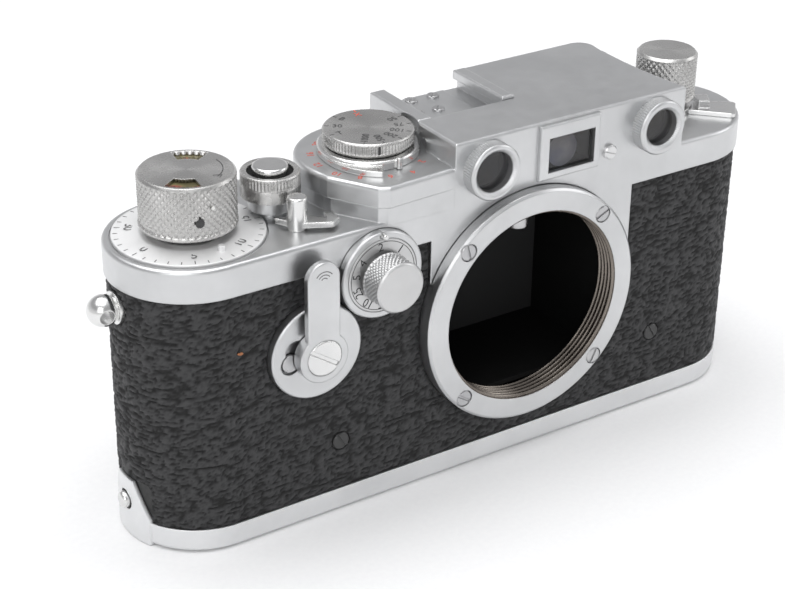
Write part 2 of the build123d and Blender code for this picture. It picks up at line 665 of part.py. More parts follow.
def make_slow_dial():
    """Slow-speed dial with its gripping knob and spindle."""
    knob = cyl_y(SLOW_X, SLOW_Z, -22.84, -17.6, 4.86)
    knob = chamfer(front_edges(knob), 0.4)
    dial = knob + cyl_y(SLOW_X, SLOW_Z, -17.6, -16.84, 3.8)
    dial += cyl_y(SLOW_X, SLOW_Z, -16.84, -15.65, 7.1)
    return dial + cyl_y(SLOW_X, SLOW_Z, -15.65, -7.5, 1.5)


def make_slow_lock():
    pin = cyl_y(SLOW_X, LOCK_Z, -17.9, -13.0, LOCK_R)
    return fillet(front_edges(pin), 0.25)


def make_timer_plate():
    plate = cyl_y(TIMER_X, TIMER_Z, -16.3, SHELL_Y, TIMER_R)
    plate = chamfer(front_edges(plate), 0.3)
    plate -= cyl_y(BUTTON_X, BUTTON_Z, -20, -15.4, 2.1)
    plate -= cyl_y(BUTTON_X + 1.0, BUTTON_Z + 2.3, -20, -15.4, 2.1)
    plate -= cyl_y(BUTTON_X, BUTTON_Z, -20, -14.6, BUTTON_R + 0.1)
    plate -= cyl_y(BUTTON_X, BUTTON_Z, -20, -10, 0.85)
    return plate - cyl_y(TIMER_X, TIMER_Z, -20, -10, 1.5 + RUN)


def make_timer_button():
    head = fillet(front_edges(cyl_y(BUTTON_X, BUTTON_Z, -16.2, -15.5, BUTTON_R)), 0.3)
    return head + cyl_y(BUTTON_X, BUTTON_Z, -15.5, -13.4, 0.8)


def make_timer_lever():
    lever = cyl_y(TIMER_X, TIMER_Z, -18.84, -16.45, 4.9)
    arm = block(TIMER_X - 3.25, TIMER_X + 3.25, -18.84, -17.5, TIMER_Z, 55.2 - 3.25)
    tip = cyl_y(TIMER_X, 55.2 - 3.25, -18.84, -17.5, 3.25)
    lever = lever + arm + tip
    lever = fillet(front_edges(lever), 0.3)
    lever -= cyl_y(TIMER_X, TIMER_Z, -20, -18.2, 3.5)
    return lever + cyl_y(TIMER_X, TIMER_Z, -16.45, -7.5, 1.5)


def make_timer_screw():
    head = cyl_y(TIMER_X, TIMER_Z, -19.0, -18.2, 3.46)
    head = chamfer(front_edges(head), 0.2)
    return head - Pos(TIMER_X, -19.0, TIMER_Z) * Rot(0, 35, 0) * Box(8, 0.9, 0.8)


# ---- Ends and back ----
def make_strap_lug(side):
    """Round-headed eyelet on a washer, with its eye running front to back; side is -1 or 1."""
    head_x = side * 70.4
    lug = Pos(head_x, 0, LUG_Z) * Sphere(2.9)
    lug += cyl_x(0, LUG_Z, min(side * 66.6, head_x), max(side * 66.6, head_x), 1.9)
    face = cyl_x(0, LUG_Z, min(side * 67.5, side * 68.5), max(side * 67.5, side * 68.5), 3.0)
    lug += face
    lug &= block(min(side * 67.5, side * 74), max(side * 67.5, side * 74), -6, 6, 40, 54)
    return lug - cyl_y(side * 70.7, LUG_Z - 0.2, -6, 6, 1.3)


def make_sync_socket():
    socket = cyl_y(SYNC_X, SYNC_Z, 13.0, 16.9, 3.0) + cyl_y(SYNC_X, SYNC_Z, HOUSING_BACK, 15.7, 3.4)
    return socket - cyl_y(SYNC_X, SYNC_Z, 14.2, 18, 2.1) + cyl_y(SYNC_X, SYNC_Z, 14.0, 16.6, 0.6)


def make_latch_stud():
    stud = cyl_x(0, STUD_Z, -69.6, -67.5, 1.6)
    return fillet(stud.edges().group_by(Axis.X)[0], 0.8)


# ---- Base plate and its lock ----
def make_base_plate():
    plate = stadium(0, BASE_Z)
    plate = fillet(low_edges(plate), 1.2)
    plate -= stadium(1.0, 10, LEATHER - 0.15)
    plate += ear(END_R - 0.45, END_R + 0.25, 6.4, 12.2)
    plate -= cyl_x(0, STUD_Z, -80, -60, 2.0)
    plate += cyl_z(KEY_X, 0, 0.9, 2.4, 11.2)
    plate -= cyl_z(KEY_X, 0, -1, 1.55, KEY_R + 0.1) + cyl_z(KEY_X, 0, 0, 3, 3.0 + RUN)
    return plate - cyl_z(TRIPOD_X, 0, -1, 5, 5.0)


def make_tripod_bush():
    bush = cyl_z(TRIPOD_X, 0, 0.0, 5.6, 5.0) + cyl_z(TRIPOD_X, 0, 1.0, 2.0, 7.0)
    return bush - cyl_z(TRIPOD_X, 0, -1, 4.6, TRIPOD_R)


def make_lock_key():
    """Turning disc with a sunk bed for the folding bow, and the latch bar above it."""
    key = cyl_z(KEY_X, 0, 0.1, 1.5, KEY_R)
    key += cyl_z(KEY_X, 0, 1.5, 3.8, 3.0)
    key += block(KEY_X - 8.4, KEY_X + 8.4, -2.2, 2.2, 2.5, 3.7)
    bed = cyl_z(KEY_X, 0, 0, 1.15, BOW_R + 0.3) & block(40, 70, -10, BOW_PIVOT_Y + 0.7, -1, 2)
    return key - bed


def make_key_bow():
    """Half-round folding bow of the lock key, hinged on its straight side."""
    half = block(40, 70, -10, BOW_PIVOT_Y + 0.4, -1, 2)
    hollow = block(40, 70, -10, BOW_PIVOT_Y - 0.4, -1, 2)
    bow = cyl_z(KEY_X, 0, 0.15, 0.9, BOW_R) & half
    return bow - (cyl_z(KEY_X, 0, -1, 2, BOW_R - BOW_WIDTH) & hollow)


# ---- Every node and its maker ----
MAKERS = {
    "body_shell": make_shell,
    "leather_cover": make_leather,
    "chassis": make_chassis,
    "throat_box": make_throat,
    "lens_flange": make_flange,
    "flange_screws": make_flange_screws,
    "body_screws": make_body_screws,
    "film_gate": make_film_gate,
    "pressure_plate": make_pressure_plate,
    "shutter_curtains": make_curtains,
    "first_curtain_roller": lambda: make_curtain_roller(ROLLER_FIRST_X),
    "second_curtain_roller": lambda: make_curtain_roller(ROLLER_SECOND_X),
    "shutter_drum": make_shutter_drum,
    "sprocket_shaft": make_sprocket,
    "take_up_spool": make_take_up_spool,
    "wind_shaft": make_wind_shaft,
    "slow_governor": make_slow_governor,
    "timer_movement": make_timer_movement,
    "top_cover": make_top_cover,
    "viewfinder_frame": make_vf_frame,
    "viewfinder_tunnel": make_vf_tunnel,
    "rangefinder_bezel_left": lambda: make_rf_bezel(RF_LEFT_X, RF_LEFT_BORE),
    "rangefinder_bezel_right": lambda: make_rf_bezel(RF_RIGHT_X, RF_RIGHT_BORE),
    "rangefinder_prism": make_rf_prism,
    "rangefinder_telescope": make_rf_telescope,
    "eyepiece_bezel": make_eyepiece_bezel,
    "finder_glasses": make_finder_glasses,
    "cam_arm": make_rf_arm,
    "cam_roller": make_cam_roller,
    "accessory_shoe": make_shoe,
    "shoe_leaf": make_shoe_leaf,
    "shoe_screws": make_shoe_screws,
    "wind_knob": make_wind_knob,
    "reminder_disc": make_reminder_disc,
    "counter_dial": make_counter_dial,
    "release_bush": make_release_bush,
    "release_collar": make_release_collar,
    "release_button": make_release_button,
    "reversing_lever": make_reversing_lever,
    "sync_ring": make_sync_ring,
    "speed_sleeve": make_speed_sleeve,
    "speed_dial": make_speed_dial,
    "rewind_shaft": make_rewind_shaft,
    "rewind_knob": make_rewind_knob,
    "dioptre_lever": make_dioptre_lever,
    "slow_ring": make_slow_ring,
    "slow_dial": make_slow_dial,
    "slow_lock": make_slow_lock,
    "timer_plate": make_timer_plate,
    "timer_button": make_timer_button,
    "timer_lever": make_timer_lever,
    "timer_screw": make_timer_screw,
    "strap_lug_left": lambda: make_strap_lug(-1),
    "strap_lug_right": lambda: make_strap_lug(1),
    "sync_socket": make_sync_socket,
    "latch_stud": make_latch_stud,
    "base_plate": make_base_plate,
    "tripod_bush": make_tripod_bush,
    "lock_key": make_lock_key,
    "key_bow": make_key_bow,
}

os.makedirs("parts", exist_ok=True)
for name, make in MAKERS.items():
    export_step(make(), f"parts/{name}.step")
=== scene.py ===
import json
from collections import namedtuple
from math import atan2, cos, exp, hypot, pi, radians, sin

import bmesh
import bpy
from mathutils import Matrix, Vector, noise


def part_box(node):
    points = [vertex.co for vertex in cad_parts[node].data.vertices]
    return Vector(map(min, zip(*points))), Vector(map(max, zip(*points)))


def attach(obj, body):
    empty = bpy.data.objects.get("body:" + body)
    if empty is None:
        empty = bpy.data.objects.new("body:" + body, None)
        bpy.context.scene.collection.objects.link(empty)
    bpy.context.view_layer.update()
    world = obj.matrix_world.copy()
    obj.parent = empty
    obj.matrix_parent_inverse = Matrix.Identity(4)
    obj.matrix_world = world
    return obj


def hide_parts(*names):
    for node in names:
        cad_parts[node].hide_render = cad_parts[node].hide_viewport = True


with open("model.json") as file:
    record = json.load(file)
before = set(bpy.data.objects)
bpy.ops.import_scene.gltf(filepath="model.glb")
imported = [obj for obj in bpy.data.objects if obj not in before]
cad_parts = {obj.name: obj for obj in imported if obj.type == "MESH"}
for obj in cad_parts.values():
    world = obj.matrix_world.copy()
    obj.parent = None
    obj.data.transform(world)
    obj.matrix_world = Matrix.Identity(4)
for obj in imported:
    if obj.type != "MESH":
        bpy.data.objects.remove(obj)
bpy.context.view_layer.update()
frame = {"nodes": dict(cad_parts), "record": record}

MM = 0.001
NODES = frame["nodes"]


# ---- Places read from the frame ----
def centre(node):
    """Middle of a CAD node's box, in millimetres."""
    lowest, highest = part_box(node)
    return (lowest + highest) / 2 / MM


def low(node):
    """Lowest corner of a CAD node's box, in millimetres."""
    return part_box(node)[0] / MM


def high(node):
    """Highest corner of a CAD node's box, in millimetres."""
    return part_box(node)[1] / MM


WIND = centre("take_up_spool")
SPEED = centre("speed_dial")
RELEASE = centre("release_button")
REWIND = centre("rewind_knob")
LENS = centre("lens_flange")
TIMER = centre("timer_plate")
SLOW = centre("slow_ring")
LUG_Z = centre("strap_lug_left")[2]


# ---- Material helpers ----
def new_material(name):
    """A material with an empty tree but for its shader and output."""
    material = bpy.data.materials.new(name)
    material.use_nodes = True
    tree = material.node_tree
    shader = tree.nodes["Principled BSDF"]
    return material, tree, shader


def add(tree, kind, **values):
    """Add a node; values name its properties, or its input sockets."""
    node = tree.nodes.new(kind)
    for key, value in values.items():
        if hasattr(node, key):
            setattr(node, key, value)
        else:
            node.inputs[key.replace("_", " ")].default_value = value
    return node


def wire(tree, source, target, output=0, key=0):
    """Link an output of source to an input of target."""
    tree.links.new(source.outputs[output], target.inputs[key])


def noise_node(tree, scale, detail=3.0, rough=0.5, stretch=(1, 1, 1)):
    """Object-space noise; scale is in features per metre."""
    place = add(tree, "ShaderNodeTexCoord")
    mapping = add(tree, "ShaderNodeMapping", Scale=stretch)
    texture = add(tree, "ShaderNodeTexNoise", Scale=scale, Detail=detail, Roughness=rough)
    wire(tree, place, mapping, "Object", "Vector")
    wire(tree, mapping, texture, "Vector", "Vector")
    return texture


def ramp_node(tree, source, stops, output=0):
    """Colour ramp over a factor; stops are (position, colour)."""
    ramp = add(tree, "ShaderNodeValToRGB")
    wire(tree, source, ramp, output)
    elements = ramp.color_ramp.elements
    while len(elements) < len(stops):
        elements.new(0.5)
    for element, (position, colour) in zip(elements, stops):
        element.position = position
        element.color = (*colour, 1)
    return ramp


def range_node(tree, source, low_value, high_value, output=0):
    """Map a 0..1 factor to a range of values."""
    span = add(tree, "ShaderNodeMapRange", To_Min=low_value, To_Max=high_value)
    wire(tree, source, span, output, "Value")
    return span


def bump_node(tree, source, shader, strength, distance, under=None):
    """Bump the shader's normal by a factor, over the normal of the node under it."""
    bump = add(tree, "ShaderNodeBump", Strength=strength, Distance=distance)
    wire(tree, source, bump, 0, "Height")
    if under is not None:
        wire(tree, under, bump, "Normal", "Normal")
    wire(tree, bump, shader, "Normal", "Normal")
    return bump


# ---- Materials ----
EDGE_RADIUS = 0.00035


def metal(name, dark, light, rough, grain=0.10, sunburst=False):
    """Plated or bare metal with a patchy tone, uneven roughness and a fine grain.

    sunburst gives it the radial sheen of a face turned on a lathe.
    """
    material, tree, shader = new_material(name)
    patches = noise_node(tree, 55, 4, 0.6)
    tone = ramp_node(tree, patches, ((0.3, dark), (0.7, light)))
    wire(tree, tone, shader, "Color", "Base Color")
    shader.inputs["Metallic"].default_value = 1.0
    smear = noise_node(tree, 420, 5, 0.65)
    wire(tree, range_node(tree, smear, rough - grain, rough + grain), shader, "Result", "Roughness")
    fine = noise_node(tree, 5200, 2, 0.6)
    corner = add(tree, "ShaderNodeBevel", samples=6, Radius=EDGE_RADIUS)
    bump_node(tree, fine, shader, 0.05, 0.00004, corner)
    if sunburst:
        shader.inputs["Anisotropic"].default_value = 0.65
        round_axis = add(tree, "ShaderNodeTangent", direction_type="RADIAL", axis="Z")
        wire(tree, round_axis, shader, 0, "Tangent")
    return material


def paper_material():
    """Off-white paper for the floor."""
    material, tree, shader = new_material("pale_paper")
    fibres = noise_node(tree, 900, 4, 0.6)
    tone = ramp_node(tree, fibres, ((0.3, (0.84, 0.84, 0.845)), (0.7, (0.87, 0.87, 0.87))))
    wire(tree, tone, shader, "Color", "Base Color")
    shader.inputs["Roughness"].default_value = 0.8
    return material


def leather_material():
    """Black grained covering, duller down in the creases of the modelled grain, where painted shade darkens
    its colour.
    """
    material, tree, shader = new_material("leather_grain")
    crease = add(tree, "ShaderNodeAttribute", attribute_name="crease")
    # Painted shade: the colour grows darker with the crease depth, down in the creases.
    stops = ((0.05, (0.030, 0.030, 0.031)), (0.45, (0.021, 0.021, 0.022)), (0.9, (0.013, 0.013, 0.013)))
    tone = ramp_node(tree, crease, stops, "Fac")
    wire(tree, tone, shader, "Color", "Base Color")
    wire(tree, range_node(tree, crease, 0.46, 0.8, "Fac"), shader, "Result", "Roughness")
    wire(tree, range_node(tree, crease, 0.50, 0.30, "Fac"), shader, "Result", "Specular IOR Level")
    pores = noise_node(tree, 3600, 4, 0.7)
    grain = noise_node(tree, 1500, 3, 0.6, (1, 1, 1.8))
    under = bump_node(tree, grain, shader, 0.5, 0.00016)
    bump_node(tree, pores, shader, 0.3, 0.00008, under)
    return material


def enamel_material(name, grey, rough):
    """Matt black enamel with a slightly uneven coat."""
    material, tree, shader = new_material(name)
    cloud = noise_node(tree, 700, 4, 0.6)
    tone = ramp_node(tree, cloud, ((0.3, (grey * 0.8,) * 3), (0.7, (grey * 1.25,) * 3)))
    wire(tree, tone, shader, "Color", "Base Color")
    wire(tree, range_node(tree, cloud, rough - 0.08, rough + 0.08), shader, "Result", "Roughness")
    shader.inputs["Specular IOR Level"].default_value = 0.2
    bump_node(tree, noise_node(tree, 4200, 3, 0.6), shader, 0.15, 0.00005)
    return material


def cloth_material():
    """Rubbed black cloth with a fine weave."""
    material, tree, shader = new_material("shutter_cloth")
    place = add(tree, "ShaderNodeTexCoord")
    weave = add(tree, "ShaderNodeTexWave", Scale=2600, Distortion=0.4)
    wire(tree, place, weave, "Object", "Vector")
    tone = ramp_node(tree, weave, ((0.2, (0.012, 0.012, 0.013)), (0.8, (0.022, 0.022, 0.022))))
    wire(tree, tone, shader, "Color", "Base Color")
    shader.inputs["Roughness"].default_value = 0.75
    bump_node(tree, weave, shader, 0.3, 0.00005)
    return material


def glass_material():
    """Coated glass: dark and clear, with a faint violet and amber bloom."""
    material, tree, shader = new_material("coated_glass")
    bloom = noise_node(tree, 130, 2, 0.5)
    tone = ramp_node(tree, bloom, ((0.3, (0.20, 0.21, 0.27)), (0.7, (0.30, 0.27, 0.25))))
    wire(tree, tone, shader, "Color", "Base Color")
    shader.inputs["Roughness"].default_value = 0.03
    shader.inputs["Transmission Weight"].default_value = 1.0
    shader.inputs["IOR"].default_value = 1.5
    bump_node(tree, noise_node(tree, 300, 2, 0.5), shader, 0.02, 0.00002)
    return material


def mirror_material():
    """Half-silvered prism, a little hazy and warm."""
    material, tree, shader = new_material("silvered_prism")
    haze = noise_node(tree, 400, 3, 0.5)
    tone = ramp_node(tree, haze, ((0.3, (0.55, 0.50, 0.38)), (0.7, (0.70, 0.66, 0.55))))
    wire(tree, tone, shader, "Color", "Base Color")
    shader.inputs["Metallic"].default_value = 1.0
    wire(tree, range_node(tree, haze, 0.05, 0.2), shader, "Result", "Roughness")
    return material


def ink_material(name, dark, light):
    """Enamel paint filled into engraving, worn a little thin."""
    material, tree, shader = new_material(name)
    wear = noise_node(tree, 2600, 3, 0.6)
    tone = ramp_node(tree, wear, ((0.35, dark), (0.75, light)))
    wire(tree, tone, shader, "Color", "Base Color")
    wire(tree, range_node(tree, wear, 0.45, 0.7), shader, "Result", "Roughness")
    return material


def reminder_material():
    """Film reminder disc: olive lacquer with red and brown fields."""
    material, tree, shader = new_material("reminder_lacquer")
    cloud = noise_node(tree, 190, 2, 0.5)
    olives = ((0.46, (0.09, 0.078, 0.035)), (0.54, (0.16, 0.135, 0.055)))
    reds = ((0.62, (0.26, 0.07, 0.05)), (0.70, (0.20, 0.06, 0.04)))
    wire(tree, ramp_node(tree, cloud, olives + reds), shader, "Color", "Base Color")
    wire(tree, range_node(tree, noise_node(tree, 900), 0.35, 0.55), shader, "Result", "Roughness")
    return material


DARK_SCREW_TOP = 0.044
BRIGHT_SCREW_FOOT = 0.046


def screw_material():
    """Black screws in the leather, and a bright one high up beside the viewfinder."""
    material, tree, shader = new_material("body_screw_finish")
    place = add(tree, "ShaderNodeTexCoord")
    split = add(tree, "ShaderNodeSeparateXYZ")
    wire(tree, place, split, "Object", 0)
    height = add(tree, "ShaderNodeMapRange", From_Min=DARK_SCREW_TOP, From_Max=BRIGHT_SCREW_FOOT)
    wire(tree, split, height, "Z", "Value")
    tone = ramp_node(tree, height, ((0.3, (0.03, 0.03, 0.03)), (0.7, (0.66, 0.66, 0.66))), "Result")
    wire(tree, tone, shader, "Color", "Base Color")
    wire(tree, height, shader, "Result", "Metallic")
    grain = noise_node(tree, 1500, 3, 0.6)
    wire(tree, range_node(tree, grain, 0.2, 0.42), shader, "Result", "Roughness")
    return material


def lens_material():
    """Front lens seen against a dark tunnel: its blue-grey reflections are painted into a pale, opaque
    colour.
    """
    material, tree, shader = new_material("lens_with_painted_reflections")
    haze = noise_node(tree, 260, 3, 0.5)
    # Painted reflection: the pale blue-grey base colour stands in for what the lens reflects.
    tone = ramp_node(tree, haze, ((0.3, (0.50, 0.54, 0.62)), (0.7, (0.72, 0.75, 0.80))))
    wire(tree, tone, shader, "Color", "Base Color")
    wire(tree, range_node(tree, haze, 0.04, 0.12), shader, "Result", "Roughness")
    return material


CHROME_DARK = (0.54, 0.545, 0.55)
CHROME_LIGHT = (0.64, 0.645, 0.65)
MATS = {
    "chrome_satin": metal("satin_chrome", CHROME_DARK, CHROME_LIGHT, 0.35),
    "chrome_bright": metal("bright_chrome", (0.66, 0.66, 0.66), (0.78, 0.78, 0.77), 0.20, 0.07),
    "steel": metal("ground_steel", (0.42, 0.42, 0.43), (0.58, 0.58, 0.58), 0.30),
    "brass": metal("turned_brass", (0.45, 0.34, 0.15), (0.66, 0.52, 0.26), 0.32),
    "casting": enamel_material("lacquered_casting", 0.05, 0.55),
    "black_enamel": enamel_material("matt_black_enamel", 0.004, 0.6),
    "leather": leather_material(),
    "cloth": cloth_material(),
    "glass": glass_material(),
    "mirror": mirror_material(),
    "dark_steel": metal("blackened_steel", (0.05, 0.05, 0.05), (0.12, 0.12, 0.12), 0.42),
    "knurl": metal("knurled_chrome", (0.44, 0.435, 0.425), (0.62, 0.615, 0.605), 0.27, 0.08, sunburst=True),
    # Painted light: a paler copy of the satin chrome, brightening the base plate's rim where it sits in the
    # floor's shade.
    "base_chrome_painted_light": metal("paler_chrome_with_painted_light", (0.72, 0.725, 0.73), (0.82, 0.825, 0.83), 0.42),
    "counter_face": metal("counter_chrome", (0.78, 0.78, 0.78), (0.88, 0.88, 0.88), 0.58),
    "dial_face": metal("dial_chrome", (0.50, 0.50, 0.50), (0.62, 0.62, 0.62), 0.38),
    "thread": metal("threaded_steel", (0.13, 0.11, 0.095), (0.30, 0.27, 0.24), 0.26, 0.08),
    "reminder": reminder_material(),
    "body_screws": screw_material(),
    "lens_painted_reflection": lens_material(),
    "white_ink": ink_material("white_ink", (0.75, 0.75, 0.72), (0.85, 0.85, 0.83)),
    "grey_ink": ink_material("grey_ink", (0.10, 0.10, 0.10), (0.20, 0.20, 0.20)),
    "rust_ink": ink_material("leather_core", (0.30, 0.11, 0.04), (0.45, 0.19, 0.08)),
    "black_ink": ink_material("black_ink", (0.02, 0.02, 0.022), (0.07, 0.07, 0.07)),
    "red_ink": ink_material("red_ink", (0.50, 0.06, 0.035), (0.66, 0.14, 0.09)),
}
OWN_FINISH = {
    "reminder_disc": "reminder",
    "counter_dial": "counter_face",
    # The base plate takes the paler chrome copy as painted light.
    "base_plate": "base_chrome_painted_light",
    "cam_roller": "steel",
    "cam_arm": "dark_steel",
    "rangefinder_telescope": "dark_steel",
    "rangefinder_prism": "dark_steel",
    "body_screws": "body_screws",
}


def paint(thing, material):
    """Give an object one material."""
    thing.data.materials.clear()
    thing.data.materials.append(material)


def paint_cad_nodes():
    """Paint every CAD node with its own finish, or with its slot's."""
    slots = {entry["node"]: entry["material_slot"] for entry in frame["record"]["subparts"]}
    for node, thing in NODES.items():
        paint(thing, MATS[OWN_FINISH.get(node, slots[node])])


# ---- Camera, light and floor ----
CAMERA_PLACE = Vector((-186.38, -267.42, 204.96)) * MM
CAMERA_AZIMUTH = radians(-33.272)
CAMERA_ELEVATION = radians(28.253)
CAMERA_ROLL = radians(0.702)
CAMERA_LENS = 87.5
SENSOR_WIDTH = 36.0
CLIP_START = 0.01


def make_camera():
    """Camera with the photo's viewpoint: its back axis from the two angles, then rolled about it."""
    back = Vector((sin(CAMERA_AZIMUTH) * cos(CAMERA_ELEVATION),
                   -cos(CAMERA_AZIMUTH) * cos(CAMERA_ELEVATION),
                   sin(CAMERA_ELEVATION)))
    level = Vector((0, 0, 1)).cross(back).normalized()
    upright = back.cross(level)
    right = cos(CAMERA_ROLL) * level + sin(CAMERA_ROLL) * upright
    up = cos(CAMERA_ROLL) * upright - sin(CAMERA_ROLL) * level
    data = bpy.data.cameras.new("camera")
    data.lens = CAMERA_LENS
    data.sensor_width = SENSOR_WIDTH
    data.clip_start = CLIP_START
    camera = bpy.data.objects.new("camera", data)
    axes = Matrix((right, up, back)).transposed().to_4x4()
    camera.matrix_world = Matrix.Translation(CAMERA_PLACE) @ axes
    bpy.context.scene.collection.objects.link(camera)
    bpy.context.scene.camera = camera


SKY_FOOT = (0.95, 0.95, 0.95, 1)
SKY_TOP = (0.95, 0.96, 0.98, 1)
SKY_GREYS = ((0.22, 0.75), (0.45, 0.42), (0.68, 0.45))
SKY_STRENGTH = 0.95


def make_world():
    """Bright round the horizon, greyer above it and bright again overhead."""
    world = bpy.data.worlds.new("studio")
    world.use_nodes = True
    bpy.context.scene.world = world
    tree = world.node_tree
    background = tree.nodes["Background"]
    place = add(tree, "ShaderNodeTexCoord")
    split = add(tree, "ShaderNodeSeparateXYZ")
    ramp = add(tree, "ShaderNodeValToRGB")
    wire(tree, place, split, "Generated")
    wire(tree, split, ramp, "Z")
    wire(tree, ramp, background, "Color", "Color")
    elements = ramp.color_ramp.elements
    elements[0].position = 0.0
    elements[0].color = SKY_FOOT
    elements[1].position = 1.0
    elements[1].color = SKY_TOP
    for position, grey in SKY_GREYS:
        elements.new(position).color = (grey, grey, grey * 1.02, 1)
    background.inputs["Strength"].default_value = SKY_STRENGTH


def make_light(name, place, target, size, power):
    """Square softbox at place, facing target."""
    data = bpy.data.lights.new(name, "AREA")
    data.shape = "SQUARE"
    data.size = size
    data.energy = power
    light = bpy.data.objects.new(name, data)
    place = Vector(place)
    light.location = place
    light.rotation_euler = (place - Vector(target)).to_track_quat("Z", "Y").to_euler()
    bpy.context.scene.collection.objects.link(light)


# Name, place, target, size and power.
SOFTBOXES = (
    ("overhead_softbox", (-0.10, 0.10, 0.95), (0, 0, 0), 0.9, 7.0),
    ("front_softbox", (-0.75, -0.75, 0.65), (0, 0, 0.03), 0.7, 3.2),
    ("right_softbox", (0.95, -0.35, 0.55), (0, 0, 0.03), 0.6, 2.0),
)
FLOOR_HALF_SIZE = 3.0
FLOOR_DROP = 0.0001


def make_floor():
    """Sheet of pale paper that the part stands on."""
    mesh = bpy.data.meshes.new("floor")
    shape = bmesh.new()
    bmesh.ops.create_grid(shape, x_segments=8, y_segments=8, size=FLOOR_HALF_SIZE)
    shape.to_mesh(mesh)
    shape.free()
    floor = bpy.data.objects.new("floor", mesh)
    floor.location.z = -FLOOR_DROP
    bpy.context.scene.collection.objects.link(floor)
    floor.data.materials.append(paper_material())


def make_stage():
    """World, lights and floor, seen without a film look."""
    make_world()
    for name, place, target, size, power in SOFTBOXES:
        make_light(name, place, target, size, power)
    view = bpy.context.scene.view_settings
    view.view_transform = "Standard"
    view.look = "None"
    make_floor()


# ---- Mesh helpers ----
SHARP_ANGLE = 35
LEATHER_SHARP_ANGLE = 60
THREAD_SHARP_ANGLE = 40
MERGE_DISTANCE = 0.000002
INK_MERGE_DISTANCE = 0.0000005


def make_piece(name, mesh, material, body):
    """Object from a mesh, painted and riding a body."""
    thing = bpy.data.objects.new(name, mesh)
    bpy.context.scene.collection.objects.link(thing)
    paint(thing, material)
    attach(thing, body)
    return thing


def mesh_object(name, verts, faces, material, body, smooth_angle=SHARP_ANGLE):
    """Piece from millimetre vertices, smooth but for its sharp edges."""
    mesh = bpy.data.meshes.new(name)
    mesh.from_pydata([Vector(v) * MM for v in verts], [], faces)
    mesh.validate()
    for polygon in mesh.polygons:
        polygon.use_smooth = True
    mesh.set_sharp_from_angle(angle=radians(smooth_angle))
    return make_piece(name, mesh, material, body)


def tidy_mesh(thing, smooth_angle=SHARP_ANGLE):
    """Merge doubled points, drop what bounds no face and turn the faces outward."""
    shape = bmesh.new()
    shape.from_mesh(thing.data)
    bmesh.ops.remove_doubles(shape, verts=shape.verts, dist=MERGE_DISTANCE)
    bmesh.ops.dissolve_degenerate(shape, edges=shape.edges, dist=MERGE_DISTANCE / 4)
    bare_edges = [edge for edge in shape.edges if not edge.link_faces]
    bmesh.ops.delete(shape, geom=bare_edges, context="EDGES")
    bare_verts = [vert for vert in shape.verts if not vert.link_faces]
    bmesh.ops.delete(shape, geom=bare_verts, context="VERTS")
    bmesh.ops.recalc_face_normals(shape, faces=shape.faces)
    shape.to_mesh(thing.data)
    shape.free()
    thing.data.set_sharp_from_angle(angle=radians(smooth_angle))


def ring_faces(rings, segments, closed, seam=None):
    """Faces between neighbouring rings of vertices, but none after the ring at the seam."""
    faces = []
    for ring in range(rings if closed else rings - 1):
        if ring == seam:
            continue
        after = (ring + 1) % rings
        for segment in range(segments):
            following = (segment + 1) % segments
            faces.append((ring * segments + segment, ring * segments + following,
                          after * segments + following, after * segments + segment))
    return faces


# ---- Leather covering ----
SKIN = 0.7
SKIN_LOW = low("leather_cover")[2]
SKIN_HIGH = high("leather_cover")[2]
SKIN_STEP = 0.36
SKIN_THINNEST = 0.1
CREASE_DEPTH = 0.42
RIM_WIDTH = 0.5
RIM_DEPTH = 0.2
END_X = -WIND[0]
COVER_R = high("body_shell")[1] + SKIN
STRAIGHT = 2 * END_X
BEND = pi * COVER_R
AROUND = 2 * (STRAIGHT + BEND)

# Openings in the leather: radii, and boxes as left, right, bottom, top.
LENS_OPENING = 23.95
TIMER_OPENING = 9.3
SLOW_OPENING = 8.5
LUG_OPENING = 3.1
SCREW_OPENING = 1.9
SCREW_PLACES = ((-31.4, 15.0), (42.1, 16.2))
FINDER_OPENING = (-12.75, 33.75, 36.0, 60.0)
EAR_HALF_WIDTH = 6.8
EAR_TOP = 12.4


def skin_point(s, inset):
    """Point on the rounded plan at distance s from the front's left end, moved in by inset."""
    s %= AROUND
    r = COVER_R - inset
    if s < STRAIGHT:
        return -END_X + s, -r
    s -= STRAIGHT
    if s < BEND:
        angle = -pi / 2 + s / COVER_R
        return END_X + r * cos(angle), r * sin(angle)
    s -= BEND
    if s < STRAIGHT:
        return END_X - s, r
    angle = pi / 2 + (s - STRAIGHT) / COVER_R
    return -END_X + r * cos(angle), r * sin(angle)


def disc_gap(x, z, middle_x, middle_z, radius):
    """Distance outside a disc."""
    return hypot(x - middle_x, z - middle_z) - radius


def box_gap(x, z, left, right, bottom, top):
    """Distance outside a box, measured square to its sides."""
    return max(left - x, x - right, bottom - z, z - top)


def front_gap(x, z):
    """Distance outside the nearest opening in the front."""
    gaps = [
        disc_gap(x, z, LENS[0], LENS[2], LENS_OPENING),
        disc_gap(x, z, TIMER[0], TIMER[2], TIMER_OPENING),
        disc_gap(x, z, SLOW[0], SLOW[2], SLOW_OPENING),
        box_gap(x, z, *FINDER_OPENING),
    ]
    gaps += [disc_gap(x, z, *place, SCREW_OPENING) for place in SCREW_PLACES]
    return min(gaps)


def skin_gap(s, z):
    """Distance outside the nearest opening in the leather; below zero it is cut away."""
    gap = min(z - SKIN_LOW, SKIN_HIGH - z)
    if s < STRAIGHT:
        gap = min(gap, front_gap(skin_point(s, 0)[0], z))
    right_end = STRAIGHT + BEND / 2
    left_end = AROUND - BEND / 2
    for middle in (right_end, left_end):
        gap = min(gap, disc_gap(s, z, middle, LUG_Z, LUG_OPENING))
    return min(gap, box_gap(s, z, left_end - EAR_HALF_WIDTH, left_end + EAR_HALF_WIDTH, 0, EAR_TOP))


